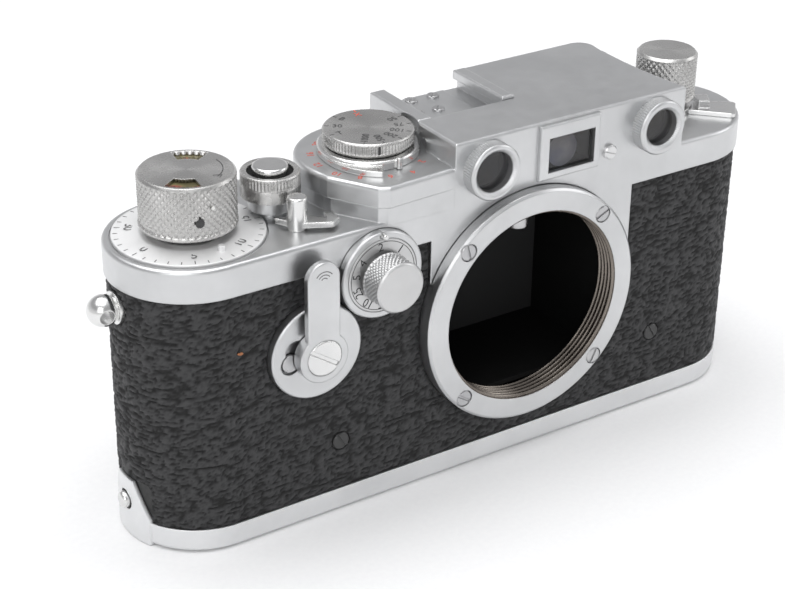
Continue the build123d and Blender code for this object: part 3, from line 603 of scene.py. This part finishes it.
def crease_depth(x, y, z):
    """Depth of the grain's creases, 0 to 1: long level ones, and finer ones between them."""
    place = Vector((x, y, z))
    sway = noise.noise(place * 0.11) * 1.3
    long_run = noise.noise(Vector((x * 0.27, y * 0.27, z * 1.05 + sway)))
    short_run = noise.noise(Vector((x * 0.55 + 20, y * 0.55, z * 1.5 - sway)))
    cross_run = noise.noise(Vector((x * 1.0 + 40, y * 1.0, z * 0.9 + sway)))
    depth = exp(-(long_run / 0.09) ** 2)
    depth += 0.65 * exp(-(short_run / 0.10) ** 2)
    depth += 0.35 * exp(-(cross_run / 0.09) ** 2)
    return min(1.0, depth * 0.8 + 0.12 * (1 + noise.noise(place * 1.9)))


def snap_to_edge(s, z, gap):
    """Move a grid point onto the opening's outline."""
    reach = 0.02
    slope_s = (skin_gap(s + reach, z) - skin_gap(s - reach, z)) / (2 * reach)
    slope_z = (skin_gap(s, z + reach) - skin_gap(s, z - reach)) / (2 * reach)
    steep = max(0.25, slope_s ** 2 + slope_z ** 2)
    return s - gap * slope_s / steep, min(SKIN_HIGH, max(SKIN_LOW, z - gap * slope_z / steep))


def skin_grid(columns, rows):
    """Points (s, z, gap) of the covering, and where each is found by its row and column."""
    step_s = AROUND / columns
    step_z = (SKIN_HIGH - SKIN_LOW) / rows
    index = {}
    points = []
    for row in range(rows + 1):
        for column in range(columns):
            s, z = column * step_s, SKIN_LOW + row * step_z
            gap = skin_gap(s, z)
            if -0.75 * SKIN_STEP < gap < 0.5 * SKIN_STEP:
                s, z = snap_to_edge(s, z, gap)
                gap = 0.0
            if gap >= -0.001:
                index[row, column] = len(points)
                points.append((s, z, gap))
    return points, index


def skin_quads(columns, rows, points, index):
    """Faces between the points; a triangle fills the corner where an outline cuts off a fourth."""
    quads = []
    for row in range(rows):
        for column in range(columns):
            after = (column + 1) % columns
            ring = [(row, column), (row, after), (row + 1, after), (row + 1, column)]
            found = [index[key] for key in ring if key in index]
            on_outline = all(points[i][2] == 0.0 for i in found)
            if len(found) == 4 or (len(found) == 3 and on_outline):
                quads.append(found)
    return quads


def grained_face(points):
    """Outer vertices, pressed in by the creases and rounded at the rims, and their crease depths."""
    verts = []
    creases = []
    for s, z, gap in points:
        crease = crease_depth(*skin_point(s, 0), z)
        rim = max(0.0, 1 - gap / RIM_WIDTH) * RIM_DEPTH
        inset = min(SKIN - SKIN_THINNEST, rim + CREASE_DEPTH * crease)
        verts.append((*skin_point(s, inset), z))
        creases.append(crease)
    return verts, creases


def outline_edges(quads):
    """Edges that only one face has."""
    edges = dict.fromkeys((a, b) for quad in quads for a, b in zip(quad, quad[1:] + quad[:1]))
    return [(a, b) for a, b in edges if (b, a) not in edges]


def build_leather():
    """The covering: a grained outer face, a plain inner one and walls round every opening."""
    columns = int(AROUND / SKIN_STEP)
    rows = int((SKIN_HIGH - SKIN_LOW) / SKIN_STEP)
    points, index = skin_grid(columns, rows)
    quads = skin_quads(columns, rows, points, index)
    verts, creases = grained_face(points)
    verts += [(*skin_point(s, SKIN), z) for s, z, _ in points]
    shift = len(points)
    faces = list(quads)
    faces += [[i + shift for i in reversed(quad)] for quad in quads]
    faces += [[b, a, a + shift, b + shift] for a, b in outline_edges(quads)]
    thing = mesh_object("leather_skin", verts, faces, MATS["leather"], "body",
                        LEATHER_SHARP_ANGLE)
    # The crease depth also sets the painted shade in the leather's colour.
    crease = thing.data.attributes.new("crease", "FLOAT", "POINT")
    crease.data.foreach_set("value", creases + [0.0] * shift)
    tidy_mesh(thing, LEATHER_SHARP_ANGLE)
    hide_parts("leather_cover")


# ---- Turned and knurled controls ----
# Knurling runs from low to high along the axis; crossed gives diamonds, else straight grooves.
Knurl = namedtuple("Knurl", "low high count pitch depth crossed")
KNURL_FADE = 0.12
SNAP = 1e-6

WIND_TOP = 69.4
WIND_CEILING = 68.7
WINDOW_MIDDLES = (58, -122)
WINDOW_HALF = 25
WINDOW_INNER = 4.2
WINDOW_OUTER = 7.6
SPEED_TOP = 69.0
SLOW_FACE = -16.84


def saw(value):
    """Triangle wave from 0 to 1 and back with period 1."""
    return 1 - abs(2 * (value % 1.0) - 1)


def knurl_height(knurl, turn, height):
    """Height of the knurling, 0 in its grooves and 1 on its points."""
    if not knurl.crossed:
        return saw(turn * knurl.count)
    lean = height / knurl.pitch
    return min(saw(turn * knurl.count + lean), saw(turn * knurl.count - lean))


def knurled_radius(knurl, turn, radius, height):
    """Radius of a turned outline where the knurling cuts into it; the cut fades out at its ends."""
    if radius <= 0 or not knurl.low - SNAP <= height <= knurl.high + SNAP:
        return radius
    edge = min(height - knurl.low, knurl.high - height)
    fade = min(1.0, max(0.0, edge / KNURL_FADE))
    return radius - knurl.depth * (1 - knurl_height(knurl, turn, height)) * fade


def dense(profile, knurl):
    """Profile points (radius, height) with the knurled stretch cut into short steps."""
    step = knurl.pitch / 6
    points = []
    for (r0, h0), (r1, h1) in zip(profile, profile[1:]):
        points.append((r0, h0))
        knurled = min(h0, h1) >= knurl.low - SNAP and max(h0, h1) <= knurl.high + SNAP
        if knurled and abs(h1 - h0) > 2 * step:
            parts = int(abs(h1 - h0) / step)
            for part in range(1, parts):
                share = part / parts
                points.append((r0 + (r1 - r0) * share, h0 + (h1 - h0) * share))
    points.append(profile[-1])
    return points


def turned_verts(outline, place, axis, segments, knurl):
    """Rings of vertices, one for each point of the outline."""
    verts = []
    for radius, height in outline:
        for segment in range(segments):
            turn = segment / segments
            r = knurled_radius(knurl, turn, radius, height) if knurl else radius
            angle = 2 * pi * turn
            if axis == "Z":
                verts.append((place[0] + r * cos(angle), place[1] + r * sin(angle), height))
            else:
                verts.append((place[0] + r * cos(angle), height, place[2] + r * sin(angle)))
    return verts


def turned_piece(name, place, axis, profile, slot, body, material=None, segments=96, knurl=None,
                 closed=False, inner=(), replaces=None):
    """Part turned round an axis at place, from a profile of (radius, height along the axis).

    A closed profile is a ring's section; inner is the profile of a cavity inside the part.
    """
    outline = dense(profile, knurl) if knurl else list(profile)
    seam = len(outline) - 1 if inner else None
    outline += inner
    verts = turned_verts(outline, place, axis, segments, knurl)
    faces = ring_faces(len(outline), segments, closed, seam)
    thing = mesh_object(name, verts, faces, material or MATS[slot], body)
    tidy_mesh(thing)
    if replaces:
        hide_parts(replaces)
    return thing


def in_window(face):
    """Whether a face lies where one of the wind knob's windows goes through its top."""
    spot = face.calc_center_median() / MM
    radius = hypot(spot.x - WIND[0], spot.y - WIND[1])
    angle = 360 * (atan2(spot.y - WIND[1], spot.x - WIND[0]) / (2 * pi))
    level = min(abs(spot.z - WIND_TOP), abs(spot.z - WIND_CEILING)) < 0.05
    between = abs(radius - (WINDOW_INNER + WINDOW_OUTER) / 2) < 0.4
    aside = [abs((angle - middle + 180) % 360 - 180) for middle in WINDOW_MIDDLES]
    return between and level and min(aside) < WINDOW_HALF


def of_rear_window(edge):
    """Whether an edge borders the rear window, not the front one."""
    return (edge.verts[0].co + edge.verts[1].co).y / 2 > WIND[1] * MM


def open_windows(thing):
    """Cut the wind knob's two windows through its top and wall their edges."""
    shape = bmesh.new()
    shape.from_mesh(thing.data)
    doomed = [face for face in shape.faces if in_window(face)]
    bmesh.ops.delete(shape, geom=doomed, context="FACES")
    edges = [edge for edge in shape.edges if edge.is_boundary]
    rear = [edge for edge in edges if of_rear_window(edge)]
    front = [edge for edge in edges if not of_rear_window(edge)]
    bmesh.ops.bridge_loops(shape, edges=rear)
    bmesh.ops.bridge_loops(shape, edges=front)
    bmesh.ops.recalc_face_normals(shape, faces=shape.faces)
    shape.to_mesh(thing.data)
    shape.free()
    thing.data.set_sharp_from_angle(angle=radians(SHARP_ANGLE))


def make_wind_knob():
    """Knurled knob, hollow under its top where the film reminder shows through two windows."""
    profile = [(0, 58.4), (6.5, 58.4), (6.5, 59.4), (8.4, 59.4), (8.7, 59.7), (8.7, 60.1), (8.7, 68.6),
               (8.62, 68.9), (8.15, WIND_TOP), (WINDOW_OUTER, WIND_TOP), (WINDOW_INNER, WIND_TOP),
               (0, WIND_TOP)]
    hollow = [(0, WIND_CEILING), (WINDOW_INNER, WIND_CEILING), (WINDOW_OUTER, WIND_CEILING),
              (7.9, WIND_CEILING), (7.9, 67.9), (0, 67.9)]
    knob = turned_piece(
        "wind_knob_turned", WIND, "Z", profile, "chrome_satin", "winding", MATS["knurl"],
        segments=352, knurl=Knurl(60.1, 68.9, 44, 1.4, 0.42, True), inner=hollow,
        replaces="wind_knob")
    open_windows(knob)


def make_rewind_knob():
    """Knurled knob with a blind bore for its shaft."""
    profile = [(2.05, 59.2), (4.8, 59.2), (4.8, 60.2), (5.9, 60.2), (6.1, 60.4), (6.1, 60.8),
               (6.1, 69.0), (6.03, 69.25), (5.5, 69.8), (0, 69.8), (0, 68.4), (2.05, 68.4)]
    turned_piece(
        "rewind_knob_turned", REWIND, "Z", profile, "chrome_satin", "rewind_knob", MATS["knurl"],
        segments=248, knurl=Knurl(60.8, 69.2, 31, 1.4, 0.42, True), closed=True,
        replaces="rewind_knob")


def make_speed_dial():
    """Dial with straight grooves round its rim and a blind bore for its shaft."""
    profile = [(2.25, 66.2), (7.9, 66.2), (8.2, 66.6), (8.4, 66.9), (8.4, 68.65), (8.05, SPEED_TOP),
               (0, SPEED_TOP), (0, 67.7), (2.25, 67.7)]
    turned_piece(
        "speed_dial_turned", SPEED, "Z", profile, "chrome_satin", "speed_dial", MATS["knurl"],
        segments=480, knurl=Knurl(66.9, 68.65, 80, 0.8, 0.3, False), closed=True,
        replaces="speed_dial")


def make_release_collar():
    """Grooved collar round the release button."""
    profile = [(4.15, 60.95), (5.4, 60.95), (5.4, 63.2), (5.2, 63.3), (5.4, 63.4), (5.4, 65.2),
               (5.1, 65.5), (4.3, 65.5), (4.15, 65.35)]
    turned_piece(
        "release_collar_turned", RELEASE, "Z", profile, "chrome_satin", "body", MATS["knurl"],
        segments=260, knurl=Knurl(63.4, 65.25, 52, 0.8, 0.24, False), closed=True,
        replaces="release_collar")


def make_slow_dial():
    """Front dial with a knurled grip."""
    profile = [(0, -7.5), (1.5, -7.5), (1.5, -15.65), (7.1, -15.65), (7.1, -16.74), (7.0, SLOW_FACE),
               (3.8, SLOW_FACE), (3.8, -17.6), (4.6, -17.6), (4.86, -17.85), (4.86, -22.4),
               (4.45, -22.84), (0, -22.84)]
    turned_piece(
        "slow_dial_turned", SLOW, "Y", profile, "chrome_satin", "slow_dial", MATS["dial_face"],
        segments=216, knurl=Knurl(-22.4, -17.85, 36, 0.9, 0.3, True), replaces="slow_dial")


def make_release_well():
    """Black ring that fills the gap between the release button and its collar: a dark sheet that paints the
    shade down in the gap.
    """
    profile = [(3.3, 64.92), (4.14, 64.92), (4.14, 65.02), (3.3, 65.02)]
    turned_piece("release_well", RELEASE, "Z", profile, "black_enamel", "body", segments=64, closed=True)


def make_bezel(node, bore):
    """Window ring with a finely knurled edge."""
    front = low(node)[1]
    back = high(node)[1]
    profile = [(bore, back), (5.4, back), (5.4, front + 0.35), (5.05, front), (bore + 0.55, front),
               (bore + 0.1, front + 0.5), (bore, front + 0.8)]
    turned_piece(
        node + "_turned", centre(node), "Y", profile, "chrome_satin", "body", segments=256,
        knurl=Knurl(front + 0.35, back, 64, 0.9, 0.22, False), closed=True, replaces=node)


THREAD_PITCH = 25.4 / 26
THREAD_CREST = 18.95
THREAD_ROOT = 19.46
THREAD_OUTSIDE = 19.49
THREAD_FRONT = -17.7
THREAD_BACK = -13.0
THREAD_SEGMENTS = 180
THREAD_STEPS = 60
THREAD_LEAD_IN = 5


def thread_radius(step, y, turn):
    """Radius of the thread's flanks, which rise from the root over the first few steps."""
    wave = saw((y - THREAD_FRONT) / THREAD_PITCH + turn)
    height = min(1.0, max(0.0, 1.6 * wave - 0.3))
    fade = min(1.0, step / THREAD_LEAD_IN)
    return THREAD_ROOT - (THREAD_ROOT - THREAD_CREST) * height * fade


def make_thread():
    """The lens mount's screw thread, as a liner inside the flange."""
    turns = [segment / THREAD_SEGMENTS for segment in range(THREAD_SEGMENTS)]
    rings = []
    for step in range(THREAD_STEPS + 1):
        y = THREAD_FRONT + (THREAD_BACK - THREAD_FRONT) * step / THREAD_STEPS
        rings.append((y, [thread_radius(step, y, turn) for turn in turns]))
    for y in (THREAD_BACK, THREAD_FRONT):
        rings.append((y, [THREAD_OUTSIDE] * THREAD_SEGMENTS))
    verts = []
    for y, radii in rings:
        for turn, radius in zip(turns, radii):
            angle = 2 * pi * turn
            verts.append((LENS[0] + radius * cos(angle), y, LENS[2] + radius * sin(angle)))
    faces = ring_faces(len(rings), THREAD_SEGMENTS, True)
    thing = mesh_object("lens_thread", verts, faces, MATS["thread"], "body", THREAD_SHARP_ANGLE)
    tidy_mesh(thing)


def make_knobs():
    """Every turned part."""
    make_wind_knob()
    make_rewind_knob()
    make_speed_dial()
    make_release_collar()
    make_slow_dial()
    make_release_well()
    make_bezel("rangefinder_bezel_left", 4.0)
    make_bezel("rangefinder_bezel_right", 3.7)
    make_thread()


# ---- Meshes for markings ----
INK_LIFT = 0.012
INK_DEPTH = 0.03


def text_mesh(text, size):
    """Flat letters standing on the origin's plane, centred."""
    curve = bpy.data.curves.new("letters", "FONT")
    curve.body = text
    curve.size = size * MM
    curve.align_x = "CENTER"
    curve.align_y = "CENTER"
    curve.extrude = INK_DEPTH * MM / 2
    curve.resolution_u = 3
    holder = bpy.data.objects.new("letters", curve)
    mesh = bpy.data.meshes.new_from_object(holder)
    bpy.data.objects.remove(holder)
    return mesh


def bar_mesh(width, length):
    """Flat bar along Y."""
    mesh = bpy.data.meshes.new("bar")
    shape = bmesh.new()
    bmesh.ops.create_cube(shape, size=1.0)
    bmesh.ops.scale(shape, verts=shape.verts, vec=(width * MM, length * MM, INK_DEPTH * MM))
    shape.to_mesh(mesh)
    shape.free()
    return mesh


def dot_mesh(radius, height):
    """Low round button, a little smaller at its top."""
    mesh = bpy.data.meshes.new("dot")
    shape = bmesh.new()
    bmesh.ops.create_cone(shape, cap_ends=True, segments=32, radius1=radius * MM,
                          radius2=radius * 0.9 * MM, depth=height * MM)
    shape.to_mesh(mesh)
    shape.free()
    return mesh


def arc_mesh(radius, start, end, width):
    """Flat strip along an arc round the origin, in degrees."""
    mesh = bpy.data.meshes.new("arc")
    shape = bmesh.new()
    steps = max(6, int(abs(end - start) / 3))
    inside, outside = radius - width / 2, radius + width / 2
    section = ((inside, -0.5), (outside, -0.5), (outside, 0.5), (inside, 0.5))
    rails = []
    for step in range(steps + 1):
        angle = radians(start + (end - start) * step / steps)
        rails.append([shape.verts.new((r * cos(angle) * MM, r * sin(angle) * MM, lift * INK_DEPTH * MM))
                      for r, lift in section])
    for before, after in zip(rails, rails[1:]):
        for side in range(4):
            other = (side + 1) % 4
            shape.faces.new((before[side], before[other], after[other], after[side]))
    shape.faces.new(rails[0])
    shape.faces.new(reversed(rails[-1]))
    bmesh.ops.recalc_face_normals(shape, faces=shape.faces)
    shape.to_mesh(mesh)
    shape.free()
    return mesh


def ink_piece(name, parts, material, body):
    """Join placed meshes into one piece; parts are (mesh, matrix)."""
    shape = bmesh.new()
    for mesh, matrix in parts:
        mesh.transform(matrix)
        shape.from_mesh(mesh)
        bpy.data.meshes.remove(mesh)
    bmesh.ops.remove_doubles(shape, verts=shape.verts, dist=INK_MERGE_DISTANCE)
    joined = bpy.data.meshes.new(name)
    shape.to_mesh(joined)
    shape.free()
    make_piece(name, joined, MATS[material], body)


# ---- Places for markings ----
UPRIGHT = (0, 0, 1)
FORWARD = (0, -1, 0)
REARWARD = (0, 1, 0)


def frame_at(place, out, up):
    """Matrix whose Z points out of the surface and Y up the letter; place in millimetres."""
    out = Vector(out).normalized()
    up = Vector(up)
    up = (up - up.dot(out) * out).normalized()
    across = up.cross(out)
    matrix = Matrix((across, up, out)).transposed().to_4x4()
    matrix.translation = Vector(place) * MM
    return matrix


def level_way(angle):
    """Level direction at an angle from the X axis, in degrees."""
    return Vector((cos(radians(angle)), sin(radians(angle)), 0))


def on_top(middle, radius, angle, z, turn=0.0):
    """Place on a level dial; the letter's foot points at the middle, and turn leans it."""
    away = level_way(angle)
    lean = Matrix.Rotation(radians(turn), 3, "Z") @ away
    place = Vector((middle[0], middle[1], 0)) + away * radius
    return frame_at((place.x, place.y, z + INK_LIFT), UPRIGHT, lean)


def on_front(middle, radius, angle, y):
    """Place on an upright dial that faces the front."""
    away = Vector((cos(radians(angle)), 0, sin(radians(angle))))
    place = Vector((middle[0], 0, middle[2])) + away * radius
    return frame_at((place.x, y - INK_LIFT, place.z), FORWARD, away)


def on_side(middle, way, radius, z):
    """Place on the upright side of a round knob, facing out along way."""
    spot = Vector((middle[0], middle[1], z)) + way * radius
    return frame_at(spot, way, UPRIGHT)


def way_to(middle, x, y):
    """Level direction from a middle to a point."""
    return (Vector((x, y, 0)) - Vector((middle[0], middle[1], 0))).normalized()


# ---- Markings on the frame counter and the wind knob ----
COUNTER_TOP = 58.15
COUNTER_SLOPE = 0.085
COUNTER_FLAT_R = 8.8
COUNTER_TICKS = 35
COUNTER_ZERO = -164
COUNTER_TICK_END = 13.1
WIND_GRIP_R = 8.72
REMINDER_TOP = 68.65
REMINDER_R = 6.0
REMINDER_MARKS = ((-140, (40, 80, 16, 32)), (40, (10, 20, 25)))


def counter_z(radius):
    """Height of the counter's face, which falls away outside its flat middle."""
    return COUNTER_TOP - max(0.0, radius - COUNTER_FLAT_R) * COUNTER_SLOPE


def make_counter_marks():
    """Ticks round the frame counter, and a numeral at every fifth."""
    parts = []
    for tick in range(COUNTER_TICKS):
        angle = COUNTER_ZERO + 360 / COUNTER_TICKS * tick
        length = 1.5 if tick % 5 == 0 else 1.0
        radius = COUNTER_TICK_END - length / 2
        parts.append((bar_mesh(0.17, length), on_top(WIND, radius, angle, counter_z(radius))))
        if tick % 5 == 0:
            parts.append((text_mesh(str(tick), 2.6), on_top(WIND, 10.5, angle, counter_z(10.2), 180)))
    ink_piece("counter_marks", parts, "grey_ink", "counter_dial")


def make_wind_arrow():
    """Curved arrow on the wind knob's top: an arc and the two strokes of its head."""
    middle = frame_at((WIND[0], WIND[1], WIND_TOP + INK_LIFT), UPRIGHT, REARWARD)
    parts = [(arc_mesh(6.3, -60, 7, 0.16), middle)]
    for radius, turn in ((5.9, 35), (6.7, 100)):
        parts.append((bar_mesh(0.16, 1.3), on_top(WIND, radius, -56, WIND_TOP, turn)))
    ink_piece("wind_arrow", parts, "black_ink", "winding")


def make_wind_grip_marks():
    """A black disc that paints the shade of a hole, and a small white dot, in the wind knob's knurling."""
    hole = on_side(WIND, way_to(WIND, -55.34, -8.47), WIND_GRIP_R, 62.98)
    # Painted shade: the hole is not cut; a black ink disc stands for its dark inside.
    ink_piece("wind_grip_hole", [(dot_mesh(0.8, 0.07), hole)], "black_ink", "winding")
    dot = on_side(WIND, way_to(WIND, -52.9, -8.69), WIND_GRIP_R, 65.44)
    ink_piece("wind_grip_dot", [(dot_mesh(0.35, 0.07), dot)], "white_ink", "winding")


def make_reminder_marks():
    """Film speeds on the reminder disc, seen through the wind knob's windows."""
    marks = []
    for start, values in REMINDER_MARKS:
        for place, value in enumerate(values):
            spot = on_top(WIND, REMINDER_R, start + 14 * place, REMINDER_TOP)
            marks.append((text_mesh(str(value), 1.3), spot))
    ink_piece("reminder_numerals", marks, "black_ink", "reminder_disc")


# ---- Markings on the speed dials ----
# Text, angle in degrees and distance from the dial's middle.
SPEED_MARKS = (("30", 146, 5.6), ("B", 112, 5.9), ("50", 8, 5.6), ("75", -20, 5.6), ("100", -47, 5.4),
               ("200", -74, 5.4), ("500", -101, 5.4), ("1000", -128, 5.2), ("T", 178, 5.9))
SYNC_MARKS = (("20", 132, 9.7), ("16", 159, 10.55), ("12", -175, 11.1), ("10", -150, 11.75),
              ("8", -129, 11.9), ("6", -103, 12.0), ("4", -82, 12.25), ("2", -59, 10.7))
SLOW_MARKS = (("4", 140, 5.4), ("5", 169, 5.5), ("25", -158, 5.5), ("10", -123, 5.6), ("1", 50, 5.6),
              ("2", 95, 5.6), ("15", -90, 5.6))
SYNC_DECK = 64.4
FLASH_ANGLE = 77
INDEX_ANGLE = -109


def make_speed_marks():
    """Numerals and ticks on the speed dial, its flash mark and its index line."""
    numerals = [(text_mesh(text, 1.9), on_top(SPEED, radius, angle, SPEED_TOP, -90))
                for text, angle, radius in SPEED_MARKS]
    ticks = [(bar_mesh(0.14, 0.9), on_top(SPEED, 7.55, angle, SPEED_TOP)) for _, angle, _ in SPEED_MARKS]
    ink_piece("speed_numerals", numerals + ticks, "black_ink", "speed_dial")
    flash = [(text_mesh("X", 2.0), on_top(SPEED, 5.8, FLASH_ANGLE, SPEED_TOP)),
             (bar_mesh(0.3, 0.9), on_top(SPEED, 7.5, FLASH_ANGLE, SPEED_TOP))]
    ink_piece("speed_flash_mark", flash, "red_ink", "speed_dial")
    index = [(bar_mesh(0.5, 1.5), on_side(SPEED, level_way(INDEX_ANGLE), 8.36, 67.8))]
    ink_piece("speed_index", index, "black_ink", "speed_dial")


def make_sync_marks():
    """Red numerals on the deck round the speed dial."""
    numerals = [(text_mesh(text, 1.9), on_top(SPEED, radius, angle, SYNC_DECK))
                for text, angle, radius in SYNC_MARKS]
    ink_piece("sync_numerals", numerals, "red_ink", "body")


def make_slow_marks():
    """Numerals on the front dial and the fine line round them."""
    parts = [(text_mesh(text, 2.3), on_front(SLOW, radius, angle, SLOW_FACE))
             for text, angle, radius in SLOW_MARKS]
    middle = frame_at((SLOW[0], SLOW_FACE - INK_LIFT, SLOW[2]), FORWARD, UPRIGHT)
    parts.append((arc_mesh(6.6, 0, 359, 0.12), middle))
    ink_piece("slow_numerals", parts, "black_ink", "slow_dial")


def make_timer_marks():
    """Curved ridges near the self-timer lever's tip."""
    face = low("timer_lever")[1]
    tip = high("timer_lever")[2] - 3.6
    parts = []
    for radius in (0.7, 1.3, 1.9):
        middle = frame_at((TIMER[0], face - INK_LIFT / 2, tip), FORWARD, UPRIGHT)
        parts.append((arc_mesh(radius, 35, 145, 0.18), middle))
    ink_piece("timer_ridges", parts, "grey_ink", "timer_lever")


# ---- Small pieces on the front ----
FINDER_LENS = (16.5, -14.7, 62.45)
FINDER_LENS_R = 3.35
FINDER_LENS_DOME = 0.45
FINDER_LENS_DEPTH = 1.6
CHIP_X = -51.8
CHIP_Z = 39.7


def make_finder_lens():
    """Domed front lens behind the viewfinder window."""
    front = FINDER_LENS[1]
    back = front + FINDER_LENS_DEPTH
    shares = [ring / 8 for ring in range(9)]
    outline = [(FINDER_LENS_R * share, front + FINDER_LENS_DOME * share ** 2) for share in shares]
    outline += [(FINDER_LENS_R, back), (0, back)]
    # The lens wears the painted reflection colour.
    turned_piece("finder_front_lens", FINDER_LENS, "Y", outline, "glass", "body", MATS["lens_painted_reflection"],
                 segments=64)


def make_leather_chip():
    """Tiny spot where the leather's surface has flaked and its brown core shows."""
    chip = dot_mesh(0.45, 0.2)
    chip.transform(Matrix.Diagonal((1.3, 0.6, 1, 1)))
    place = frame_at((CHIP_X, -COVER_R + 0.14, CHIP_Z), FORWARD, (0.1, 0, 1))
    ink_piece("leather_chip", [(chip, place)], "rust_ink", "body")


def make_marks():
    """Every marking and small piece."""
    make_leather_chip()
    make_counter_marks()
    make_wind_arrow()
    make_wind_grip_marks()
    make_reminder_marks()
    make_speed_marks()
    make_sync_marks()
    make_slow_marks()
    make_timer_marks()
    make_finder_lens()


# ---- Build everything ----
make_camera()
make_stage()
paint_cad_nodes()
build_leather()
make_knobs()
make_marks()
